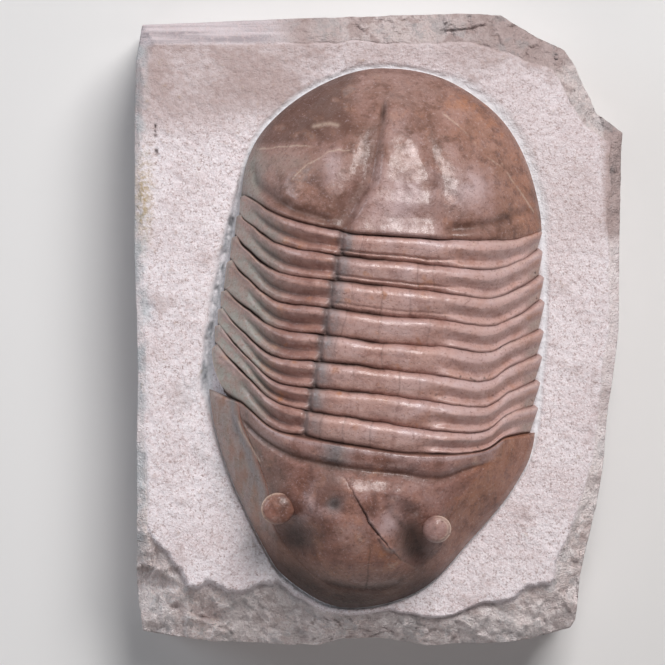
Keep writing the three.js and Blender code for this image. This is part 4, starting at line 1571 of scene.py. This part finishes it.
        # pale bloom, with painted highlights on the lifted side of the fracture and along the upper edge of
        # the hind band
        haze = patches(self.hazy, p, q) + 0.4 * f["lip"] + 1.3 * f["lift"]
        haze += 0.12 * ease(-q, 21, 23) * ease(-q, 35, 26) * ease(np.abs(t), 13, 9)
        haze = 0.8 * haze * ease(soft + 0.5 * small, -0.7, 0.8) + 0.25 * band * ease(soft, -0.6, 0.7)
        haze += 0.5 * hump(behind, 0.2, 0.1) * (0.6 + 0.5 * small)
        rust = 0.25 * bulge + 0.45 * ease(small, 0.3, 0.9) + 0.25 * blotch * ease(-q, 20, 24)
        rust += 0.25 * ease(t, 12, 17) * ease(behind, 0.6, 1.2)
        ink = patches(self.blue, p, q) + 0.75 * hump(t, -5.0, 1.9) * band * ease(small, -1.0, 0.1)
        vein = 0.75 * f["crack"] * ease(q, -31, -33) + 0.25 * ease(small, 0.9, 1.3)
        return {
            Paint.DIRT: np.clip(dirt, 0, 0.95),
            Paint.HAZE: np.clip(haze, 0, 0.85),
            Paint.OLIVE: np.clip(0.25 * ease(-t, 10, 17), 0, 1),
            Paint.RUST: np.clip(rust, 0, 1),
            Paint.INK: np.clip(ink, 0, 0.85),
            Paint.VEIN: np.clip(vein + 0.6 * stroke(p, q, self.left_line, 0.13), 0, 1),
            # tone: random, with painted shade on the front and a painted highlight on the bulge
            Paint.TONE: np.clip(0.5 * soft - 0.35 * front + 0.7 * bulge, -1, 1),
        }

    def lumps(self, p: Array, q: Array) -> Array:
        """Small unevenness, the same on every plate of the head."""
        return self.lumpiness * self.grain.layers(p, q, 0 * p + 4, 4.0, 6, 0.55)

    def cranidium(self) -> None:
        """Makes the middle piece of the head."""
        u, v = np.meshgrid(np.linspace(0, 1, self.columns), np.linspace(0, 1, self.rows))
        foot_p = between(self.left_suture[0][0], self.right_suture[0][0], u)
        foot = foot_p, self.seams.q_at(0, foot_p) + 0.2
        p, q = self.sheet(self.suture(-1, v), self.suture(1, v), foot, u, v)
        height, fields = self.relief(p, q)
        grid = flipped(self.back.lay(p, q, height + self.lumps(p, q), self.masks(p, q, fields)))
        dress(closed_plate("cranidium_shell", grid, self.foot), self.finish, "head_shell", "cranidium")

    def cheek(self, side: int) -> None:
        """Makes the free cheek on one side.

        Args:
            side: -1 left, 1 right.
        """
        s, w = np.meshgrid(np.linspace(0, 1, self.cheek_columns), np.linspace(0, 1, self.cheek_rows))
        inner = self.suture(side, s)
        start = float(self.back.angle(*self.seams.point(0, 0.0 if side < 0 else 1.0)))
        start = start - TAU if start > 0 else start
        outer = self.back.margin_point(between(start, -math.pi / 2 - self.blunt, s))
        p, q = between(inner[0], outer[0], w), between(inner[1], outer[1], w)
        height, fields = self.relief(p, q)
        masks = self.masks(p, q, fields)
        drawn_out = self.grain.layers(p * 2.5, q * 0.6, 0 * p + 30, 2.0, 4)
        trough = self.stain_cheek(side, s, w, drawn_out, masks)
        height = height * ease(self.back.outward(p, q), 1.0, 0.9) - trough - 0.8 * ease(s, 0.03, 0.0) ** 2
        grid = self.back.lay(p, q, height + self.lumps(p, q), masks)
        name = "left" if side < 0 else "right"
        piece = closed_plate(f"cheek_shell_{name}", grid if side < 0 else flipped(grid), self.cheek_foot)
        dress(piece, self.cheek_finish, "cheek_shell", f"free_cheek_{name}")

    def stain_cheek(self, side: int, s: Array, w: Array, small: Array, masks: dict[Paint, Array]) -> Array:
        """Gives a cheek its own stains, away from the suture and the front.

        Args:
            side: -1 left, 1 right.
            s: 0 at the cheek's hind end, 1 in front.
            w: 0 at the suture, 1 at the margin.
            small: noise drawn out along the cheek.
            masks: the head's masks on the cheek, which are changed.

        Returns:
            Depth of the trough along the cheek.
        """
        away = ease(w, 0.0, 0.16) * ease(s, 0.8, 0.45)
        if side < 0:
            # a blue-grey streak along the inner slope: partly its own colour, partly a painted cool
            # highlight
            streak = hump(w, 0.24, 0.12) * ease(s, 0.6, 0.25) * away
            masks[Paint.OLIVE] = np.clip(away * (0.6 - 0.4 * ease(s, 0.5, 0.9) + 0.25 * small), 0, 1)
            masks[Paint.INK] = np.clip(np.maximum(masks[Paint.INK], (0.6 + 0.2 * small) * streak), 0, 1)
            masks[Paint.RUST] = np.clip(masks[Paint.RUST] + 0.4 * away * ease(-small, 0.0, 0.6), 0, 1)
            masks[Paint.HAZE] = masks[Paint.HAZE] * (1 - away) + 0.35 * away * ease(small, -0.4, 0.8)
            masks[Paint.DIRT] = masks[Paint.DIRT] * (1 - 0.6 * away) + 0.25 * away * ease(small, 0.1, 0.9)
            return 0.45 * hump(w, 0.3, 0.2) * ease(s, 0.8, 0.3) * away
        masks[Paint.RUST] = np.clip(between(masks[Paint.RUST], 0.5 + 0.3 * small, away), 0, 1)
        masks[Paint.HAZE] = masks[Paint.HAZE] * (1 - away) + 0.1 * away * ease(small, 0.2, 0.8)
        masks[Paint.DIRT] = masks[Paint.DIRT] * (1 - 0.5 * away) + 0.25 * away * ease(small, 0.2, 0.9)
        return 0.12 * hump(w, 0.35, 0.2) * away

    def eye(self, eye: Eye) -> None:
        """Makes one eye: stalk, outer seeing surface and the lobe over it.

        Args:
            eye: its place and sizes.
        """
        top = 0.985
        around = np.linspace(0, TAU, eye.spokes, endpoint=False)
        turn, up = np.meshgrid(around, np.linspace(0, top, eye.rings))
        facing = np.cos(turn - eye.outward)
        radius = eye.size * eye.outline(up) * (1 + 0.03 * np.sin(2 * turn + 1))
        p = eye.place[0] + radius * np.cos(turn)
        q = eye.place[1] + radius * np.sin(turn)
        lean = 0.22 * ease(facing, 0.0, 1.0) * ease(up, 0.4, 0.7) * ease(up, 1.0, 0.8)
        groove = 0.1 * hump(up, 0.66, 0.03) * ease(facing, -0.2, 0.4)
        z = self.back.arch(*np.array(eye.place)) + eye.base + eye.height(up) - lean - groove
        z += 0.04 * self.grain.layers(p, q, z, 1.2, 3)
        small = self.grain.layers(p, q, z + 9, 0.9, 3)
        arcs = 0.9 * hump(up, 0.6, 0.065) + 0.5 * hump(up, 0.74, 0.025) * eye.second_arc
        # painted shade low on the stalk and on the side turned from where the eye looks
        shade = 0.5 * ease(up, 0.4, 0.2) + 0.2 * ease(facing, 0.2, -0.8)
        masks = {
            Paint.VEIN: np.clip(arcs * ease(facing, -0.35, 0.5) * eye.paleness, 0, 1),
            Paint.DIRT: np.clip(shade + 0.2 * small, 0, 1),
            Paint.RUST: 0.4 * ease(small, -0.4, 0.6),
            Paint.HAZE: 0.25 * eye.second_arc + 0.2 * ease(small, 0.0, 0.9),
        }
        points = Grid(*self.back.to_block(p, q), z, {}).points()
        faces = ring_faces(eye.rings, eye.spokes)
        faces.append(list(range(len(points) - eye.spokes, len(points))))
        faces.append(list(range(eye.spokes))[::-1])
        flat = {kind: values.ravel() for kind, values in masks.items()}
        dress(mesh_piece(eye.name, points, faces, flat), self.finish, "head_shell")

    def build(self) -> None:
        """Makes the head's pieces."""
        self.cranidium()
        self.cheek(-1)
        self.cheek(1)
        for eye in self.eyes:
            self.eye(eye)


def flipped(grid: Grid) -> Grid:
    """The same sheet with its columns in reverse, so that its faces turn over."""
    masks = {kind: values[:, ::-1] for kind, values in grid.masks.items()}
    return Grid(grid.x[:, ::-1], grid.y[:, ::-1], grid.z[:, ::-1], masks)


# ---------------------------------------------------------------- the block


@dataclass
class Spokes:
    """The lines that the block's rings run along, from the animal's middle out to the rim.

    Each has a direction, an angle in the animal's frame, the distances of the margin and of the rim, and
    says how the stone falls away at the rim: drop, width of the slope and roughness.
    """

    middle: Point
    ux: Array
    uy: Array
    angle: Array
    edge: Array
    reach: Array
    drop: Array
    inset: Array
    rough: Array

    def at(self, distance: Array) -> tuple[Array, Array]:
        """x and y at a distance along every spoke."""
        return self.middle[0] + self.ux * distance, self.middle[1] + self.uy * distance


@dataclass
class Ground:
    """The block's face: its places on the block and in the animal's frame, noises and soft fields."""

    x: Array
    y: Array
    p: Array
    q: Array
    gap: Array
    lump: Array
    coarse: Array
    pecks: Array
    left: Array
    upper_right: Array
    slope: Array
    band: Array
    groove: Array
    moat: Array
    pitted: Array
    hollow: Array
    slit: Array
    broken: Array
    ridges: Array
    shade: Array


@dataclass
class Block:
    """The limestone block: mound, groove, pecked face, broken rim, rough sides and sawn back."""

    back: Back
    finish: bpy.types.Material
    grain: Grain
    spokes: int = 940
    near_rings: int = 20
    near_width: float = 3.2
    far_rings: int = 56
    wall_rows: int = 16
    clearance: float = 0.05
    bite: float = 0.22
    waves: float = 0.14
    ridge_height: float = 1.35
    slit_depth: float = 0.9
    core_gap: float = 0.5
    core_shares: tuple[float, ...] = (0.4, 0.7, 0.88, 0.97)
    band_line: float = 42.6
    hollow: Spot = Spot(-34.9, 3.0, 0.9, 1.8)
    ochre: Spot = Spot(-35.3, 20.0, 1.3, 6.0, 0.8)
    slit: tuple[Point, ...] = ((-33.5, 31.0), (-33.3, 24.6))
    # seed, size and strength of the facets that a break is made of
    facets: tuple[tuple[int, float, float], ...] = (
        (31, 7.0, 0.9), (32, 3.0, 0.45), (33, 1.4, 0.28), (34, 0.7, 0.12),
    )
    # seed and size of the facets that only colour it, lighter and darker from facet to facet: partly their
    # own colour, partly painted light and shade
    large_tint: tuple[int, float] = (41, 2.6)
    small_tint: tuple[int, float] = (42, 1.0)
    # x, y, drop of the rim below the face, width of the slope, roughness of the broken surface
    rim: tuple[tuple[float, float, float, float, float], ...] = (
        (36.2, 0, 1, 1.5, 0.4), (36.3, 12.8, 1.2, 2, 0.4), (36.5, 20.4, 1.4, 2.5, 0.6),
        (36.75, 29.7, 1.8, 3, 0.9), (32.9, 32.7, 2.4, 3, 1), (29.9, 39.5, 2.4, 3.5, 1),
        (28, 42.3, 2.6, 3.5, 1), (24.1, 44, 3, 4.5, 1), (18.5, 47.5, 3, 5.5, 1),
        (11.5, 47.7, 2.6, 5, 0.8), (-13.3, 46.9, 2.6, 4, 0.5), (-35.6, 46, 3.2, 3.6, 0.2),
        (-36.5, 40.4, 1.6, 1.5, 0.3), (-36.75, 31.2, 1.2, 1.2, 0.4), (-36.7, 22.1, 1, 1.2, 0.4),
        (-36.75, 12.8, 1, 1.2, 0.35), (-36.2, -6.3, 1, 1.2, 0.35), (-36.4, -16.4, 1, 1.4, 0.4),
        (-36.4, -31.5, 1.6, 2.6, 0.7), (-36.6, -37.9, 5, 8, 1), (-35.7, -45.6, 7.2, 11, 1),
        (-24.7, -47.2, 7.2, 10, 1), (-17, -47.6, 7.4, 10, 1), (-8.9, -47.7, 6.6, 6.5, 1),
        (-5.8, -46.7, 6, 5, 1), (0.2, -46.5, 5.5, 4.2, 1), (7.4, -47.7, 5.5, 4.6, 1),
        (19.1, -47.2, 5.5, 6, 1), (22.9, -46.7, 5.6, 6.5, 1), (29, -45, 5.6, 8, 1),
        (29.8, -43.8, 5, 7, 1), (30.5, -36.9, 3.4, 4.5, 0.9), (31.7, -31.8, 2.6, 3.4, 0.8),
        (33.4, -24, 1.6, 2.4, 0.6), (34, -18.9, 1.2, 2, 0.5), (34.4, -13.2, 1, 1.5, 0.4),
        (35.3, -7.2, 1, 1.5, 0.4),
    )

    def walk_rim(self) -> Array:
        """Walks round the rim in even steps.

        Returns:
            Rows of x, y, drop, slope width and roughness.
        """
        corners = np.array([*self.rim, self.rim[0]])
        lengths = np.hypot(*np.diff(corners[:, :2], axis=0).T)
        place = np.concatenate([[0], np.cumsum(lengths)])
        steps = np.arange(self.spokes) / self.spokes * place[-1]
        return np.stack([np.interp(steps, place, corners[:, i]) for i in range(5)])

    def spread(self) -> Spokes:
        """Works the spokes out from the walk round the rim.

        Returns:
            One spoke for every step of the walk.
        """
        x, y, drop, inset, rough = self.walk_rim()
        middle = self.back.to_block(*self.back.middle)
        dx, dy = x - middle[0], y - middle[1]
        reach = np.hypot(dx, dy)
        bite = np.abs(self.grain.layers(x, y, 0 * x, 5.0, 5, 0.6))
        angle = np.arctan2(dy, dx) - self.back.turn
        edge = self.back.radius(angle)
        bitten = reach - self.clearance - rough * self.bite * bite
        return Spokes(middle, dx / reach, dy / reach, angle, edge, bitten, drop, inset, rough)

    def build(self) -> None:
        """Makes the block as one closed body."""
        s = self.spread()
        face = self.face(s)
        parts = self.core(s), face, self.walls(s, face)
        crown = self.back.face + self.back.edge + self.back.dome - self.back.plate - self.core_gap
        points = np.vstack([*[part.points() for part in parts], (*s.middle, crown), (*s.middle, 0)])
        masks = {}
        for kind in face.masks:
            values = [part.masks.get(kind, 0 * part.z).ravel() for part in parts]
            masks[kind] = np.clip(np.concatenate([*values, (0, 0)]), 0, 1)
        hub = len(points) - 2
        last = hub - self.spokes
        faces = ring_faces(hub // self.spokes, self.spokes, turned=True)
        turn = [(i, (i + 1) % self.spokes) for i in range(self.spokes)]
        faces += [(hub, i, j) for i, j in turn]
        faces += [(hub + 1, last + j, last + i) for i, j in turn]
        piece = mesh_piece("limestone_block", points, faces, masks)
        dress(piece, self.finish, "limestone", "matrix_block")

    def core(self, s: Spokes) -> Grid:
        """The mound under the animal.

        Args:
            s: the spokes.

        Returns:
            Its rings, from the inside out.
        """
        reach = s.edge * np.array(self.core_shares)[:, None]
        p = self.back.middle[0] + reach * np.cos(s.angle)
        q = self.back.middle[1] + reach * np.sin(s.angle)
        return Grid(*s.at(reach), self.back.arch(p, q) - self.back.plate - self.core_gap, {})

    def face(self, s: Spokes) -> Grid:
        """The face, from the animal's margin out to the rim.

        Args:
            s: the spokes.

        Returns:
            Its rings, close together beside the animal.
        """
        near = s.edge + np.linspace(0, 1, self.near_rings + 1)[:, None] * self.near_width
        span = np.maximum(s.reach - s.edge - self.near_width, 0.5)
        far = s.edge + self.near_width + np.linspace(0, 1, self.far_rings + 1)[1:, None] * span
        f = self.ground(s, np.vstack([near, far]))
        return Grid(f.x, f.y, self.height(s, f), self.masks(f))

    def ground(self, s: Spokes, outside: Array) -> Ground:
        """Works out the fields that shape and colour the face.

        Args:
            s: the spokes.
            outside: distance of every ring along every spoke.

        Returns:
            The fields.
        """
        x, y = s.at(outside)
        p, q = self.back.from_block(x, y)
        g = self.grain
        lump = g.layers(x, y, 0 * x + 2, 9.0, 3)
        coarse = g.layers(x, y, 0 * x + 5, 4.5, 5, 0.6)
        pecks = g.layers(x, y, 0 * x + 8, 0.9, 3, 0.7)
        gap = outside - s.edge
        left = ease(p, -12, -19) * ease(q, 26, 18) * ease(q, -14, -6)
        upper_right = ease(q, 10, 20) * ease(p, 6, 16)
        width = 0.42 + 0.4 * ease(q, -22, -8) + left + upper_right + 0.2 * coarse
        moat = left * hump(gap, 0.85 + 0.25 * coarse, 0.42)
        start = np.maximum(s.reach - s.inset * (1 + 0.25 * lump + 0.07 * coarse), s.edge + 0.9)
        slope = np.clip((outside - start) / np.maximum(s.reach - start, 0.2), 0, 1.05)
        line = self.band_line + 0.25 * lump
        band = ease(y, line, line + 0.8) * ease(x, -11, -19)
        # facets lighter and darker one from the next: partly own colour, partly painted light and shade
        facet_tone_and_shade = Facets(*self.large_tint)(x + coarse, y - coarse)
        return Ground(
            x, y, p, q, gap, lump, coarse, pecks, left, upper_right, slope, band,
            groove=1 - ease(gap / width, 0.2, 1.2),
            moat=moat,
            pitted=moat * np.clip(g.layers(x, y, 0 * x + 11, 1.6, 3), 0, 1),
            hollow=self.hollow(x + 0.3 * pecks, y),
            slit=stroke(x + 0.15 * pecks, y, self.slit, 0.2) * ease(pecks, -0.3, 0.2),
            broken=ease(slope, 0.02, 0.12) * (1 - band) * ease(s.rough, 0.1, 0.7),
            ridges=self.ridges(x, y),
            shade=facet_tone_and_shade + 0.5 * Facets(*self.small_tint)(x, y) + 0.4 * coarse,
        )

    def height(self, s: Spokes, f: Ground) -> Array:
        """Height of the face and of the broken slope at its rim.

        Args:
            s: the spokes.
            f: the face's fields.

        Returns:
            z in millimetres.
        """
        ledge = 0.22 * ease(f.slope, 0.0, 0.05) + 0.78 * f.slope ** 1.2
        z = self.back.face + self.waves * f.lump - s.drop * between(ledge, f.slope, f.band)
        z += f.broken * s.rough * (self.ridge_height * f.ridges * ease(f.slope, 0.0, 0.3) + 0.15 * f.coarse)
        z += (1 - f.broken) * (0.1 * f.pecks + 0.07 * f.coarse) * (1 - 0.6 * f.band)
        z = z - (0.35 + 0.35 * f.left) * f.groove - 0.7 * f.moat - 0.5 * f.pitted
        return z - 0.5 * f.hollow - self.slit_depth * f.slit

    def masks(self, f: Ground) -> dict[Paint, Array]:
        """Where the face is broken, grooved, brown, banded, grey or dark, with painted shadow along the
        animal's left side and painted shade on the broken rim.

        Args:
            f: the face's fields.

        Returns:
            One array per kind, not yet held between 0 and 1.
        """
        x, y, coarse = f.x, f.y, f.coarse
        patch = ease(y, 27 + 3 * coarse, 36 + 3 * coarse) * ease(x, -2 + 3 * f.lump, -14 + 3 * f.lump)
        tan = patch * (1 - f.band) * (0.95 + 0.4 * coarse) + 0.35 * ease(coarse, 0.25, 0.9)
        tan += 0.8 * ease(x, 33.2, 34.6) * ease(y, 12, 17) * ease(y, 34, 31)
        tan += 0.6 * ease(y + 1.5 * coarse, 37, 42) * ease(x, -14, -2)
        tan += 0.35 * f.upper_right * ease(f.slope, -0.2, 0.1)
        # broken facets browner or greyer with their painted light and shade, here and in the border below
        tan += 0.4 * f.broken * ease(f.shade, 0.15, 0.35)
        loose = ease(x + 3 * f.lump, -19, -30) * ease(coarse + 0.4 * f.pecks, -0.4, 0.6)
        tan += 0.2 * loose * (1 - f.broken)
        stain = ease(f.p, -3, -12) * ease(f.q, 2, -12) * ease(f.gap, 6.5, 0.5) * ease(coarse, -0.7, 0.5)
        border = ease(x + 0.8 * coarse, -34.0, -35.6) * (1 - f.band)
        border *= ease(y, -38, -30) * ease(coarse, -0.7, 0.3)
        border += 0.7 * f.hollow + 0.55 * stain + 0.3 * f.broken * ease(f.shade, -0.25, -0.7)
        # painted shadow just under the face's broken edge, and painted shade on low and darker facets
        lip = hump(f.slope, 0.07, 0.05) * ease(coarse, -0.5, 0.4)
        dirt = 0.3 * lip + 0.2 * ease(-f.ridges, 0.3, 0.9) + 0.16 * ease(-f.shade, 0.3, 0.6)
        dirt = f.broken * dirt + 0.85 * f.slit + 0.5 * ease(f.pitted, 0.2, 0.6)
        # painted shadow: a dark line close along the animal's left side
        line = f.left * hump(f.gap, 0.3 + 0.2 * f.pecks, 0.2) * ease(coarse, -0.8, 0.2)
        return {
            Paint.BREAK: f.broken,
            Paint.GROOVE: f.groove * (1 - 0.3 * ease(f.slope, 0.9, 1.0)),
            Paint.TAN: tan,
            Paint.BAND: f.band,
            Paint.BORDER: border,
            Paint.RUST: self.ochre(x, y) + 0.25 * ease(f.pecks, 0.9, 1.4),
            Paint.DIRT: dirt,
            # painted shadow in the groove along the animal's left side, with dark pits
            Paint.INK: f.moat * (0.45 + 0.6 * f.pecks) + 0.3 * f.pitted + 0.6 * line,
        }

    def ridges(self, x: Array, y: Array) -> Array:
        """Sharp-edged lumps of a broken surface, about -1 to 1."""
        wander = 0.5 * self.grain.layers(x, y, 0 * x + 30, 3.0, 3)
        return sum(part * Facets(seed, size)(x + wander, y - wander) for seed, size, part in self.facets)

    def walls(self, s: Spokes, face: Grid) -> Grid:
        """The rough sides, from the rim down to the sawn back.

        Args:
            s: the spokes.
            face: the face, whose last ring is the rim.

        Returns:
            The rings below the rim.
        """
        x, y = face.x[-1], face.y[-1]
        down = np.linspace(0, 1, self.wall_rows + 1)[1:, None]
        z = face.z[-1] * (1 - down)
        bite = 0.5 + 0.5 * self.grain.layers(x, y, z, 6.0, 5, 0.6)
        chips = 0.5 + 0.5 * self.ridges(x + 0.7 * z, y - 0.7 * z)
        coarse = self.grain.layers(x, y, z, 3.0, 4)
        inward = np.clip(s.rough, 0.25, 1) * ease(down, 0, 0.15) * 0.9 * (bite + np.sin(math.pi * down))
        inward += 0.8 * np.clip(s.rough, 0.3, 1) * chips * ease(down, 0, 0.12)
        inward = np.maximum(inward, 0) + 0.5 * ease(down, 0.95, 1.0)
        fade = 0.6 * ease(down, 0.5 + 0.3 * coarse, -0.1)
        masks = {
            Paint.BREAK: np.clip(0.55 + 0.45 * s.rough, 0, 1) + 0 * z,
            Paint.TAN: 0.5 * ease(coarse, -0.2, 0.8),
            Paint.BAND: face.masks[Paint.BAND][-1] * (1 - down),
            Paint.BORDER: face.masks[Paint.BORDER][-1] * fade,
            Paint.RUST: face.masks[Paint.RUST][-1] * fade,
            Paint.DIRT: 0.2 * ease(-coarse, 0.2, 0.9),
        }
        return Grid(x - s.ux * inward, y - s.uy * inward, z, masks)


# ---------------------------------------------------------------- studio


@dataclass(frozen=True)
class Lamp:
    """A soft square light: its place and side in metres, its power in watts and its colour."""

    name: str
    place: tuple[float, float, float]
    side: float
    power: float
    colour: Colour


@dataclass
class Studio:
    """Pale floor, soft lights and a camera that looks straight down on the lying block."""

    frame_width: float = 99.75
    aim: tuple[float, float, float] = (-6.9, -0.4, 22.0)
    distance: float = 1200.0
    sensor: float = 36.0
    floor_half: float = 2.0
    floor_paint: Colour = (0.72, 0.715, 0.71)
    air: Colour = (0.9, 0.93, 1.0)
    air_strength: float = 0.07
    lamps: tuple[Lamp, ...] = (
        Lamp("key", (0.2, 0.42, 0.56), 0.34, 4.75, (1.0, 0.98, 0.97)),
        Lamp("fill_left", (-0.6, 0.26, 0.26), 0.3, 1.3, (0.82, 0.91, 1.0)),
        Lamp("fill_top", (0.1, 0.3, 0.75), 0.17, 0.7, (1.0, 0.98, 0.97)),
        Lamp("fill_front", (-0.12, -0.5, 0.46), 0.4, 0.8, (1.0, 0.94, 0.93)),
    )

    @staticmethod
    def place(name: str, data: Any) -> bpy.types.Object:
        """Puts new data into the scene as an object.

        Args:
            name: the object's name.
            data: a mesh, light or camera.

        Returns:
            The object.
        """
        made = bpy.data.objects.new(name, data)
        bpy.context.scene.collection.objects.link(made)
        return made

    def floor(self) -> None:
        """A wide pale floor."""
        half = self.floor_half
        corners = [(-half, -half, 0), (half, -half, 0), (half, half, 0), (-half, half, 0)]
        mesh = bpy.data.meshes.new("floor")
        mesh.from_pydata(corners, [], [(0, 1, 2, 3)])
        paint = {"Base Color": self.floor_paint, "Roughness": 0.7}
        mesh.materials.append(Graph("floor_paint").finish(paint))
        self.place("floor", mesh)

    def light(self, lamp: Lamp) -> None:
        """Hangs one lamp, aimed at the object.

        Args:
            lamp: the lamp.
        """
        data = bpy.data.lights.new(lamp.name, "AREA")
        data.shape = "SQUARE"
        data.size = lamp.side
        data.energy = lamp.power
        data.color = lamp.colour
        made = self.place(lamp.name, data)
        made.location = lamp.place
        made.rotation_euler = (Vector(self.aim) * MM - made.location).to_track_quat("-Z", "Y").to_euler()

    def camera(self) -> None:
        """The camera, square to the block's face."""
        data = bpy.data.cameras.new("camera")
        data.sensor_width = self.sensor
        data.lens = self.sensor * self.distance / self.frame_width
        data.clip_start = 0.01
        data.clip_end = 20.0
        camera = self.place("camera", data)
        camera.location = (Vector(self.aim) + Vector((0, 0, self.distance))) * MM
        bpy.context.scene.camera = camera

    def build(self) -> None:
        """Sets up floor, lights, camera and the plain surroundings."""
        self.floor()
        self.camera()
        for lamp in self.lamps:
            self.light(lamp)
        world = bpy.data.worlds.new("surroundings")
        world.use_nodes = True
        background = world.node_tree.nodes["Background"]
        background.inputs["Color"].default_value = (*self.air, 1)
        background.inputs["Strength"].default_value = self.air_strength
        bpy.context.scene.world = world
        bpy.context.scene.view_settings.view_transform = "Standard"


def main() -> None:
    """Builds the fossil piece by piece."""
    logging.basicConfig(level=logging.INFO, format="%(name)s: %(message)s")
    Studio().build()
    back = Back()
    seams = Seams(back)
    looks = {
        "tail_shell": ((0.24, 0.118, 0.085), (0.125, 0.058, 0.042), (0.35, 0.2, 0.17)),
        "thorax_shell": ((0.39, 0.205, 0.165), (0.22, 0.105, 0.085), (0.54, 0.33, 0.285)),
        "head_shell": ((0.24, 0.106, 0.076), (0.12, 0.052, 0.038), (0.32, 0.17, 0.142)),
        "cheek_shell": ((0.29, 0.125, 0.08), (0.165, 0.072, 0.05), (0.36, 0.18, 0.14)),
    }
    tail, thorax, head, cheek = (ShellFinish(name, *colours).material() for name, colours in looks.items())
    TailShield(back, seams, tail, Grain(11)).build()
    Thorax(back, seams, thorax, Grain(12)).build()
    Head(back, seams, head, Grain(13), cheek).build()
    Block(back, LimestoneFinish().material(), Grain(14)).build()


if __name__ == "__main__":
    main()
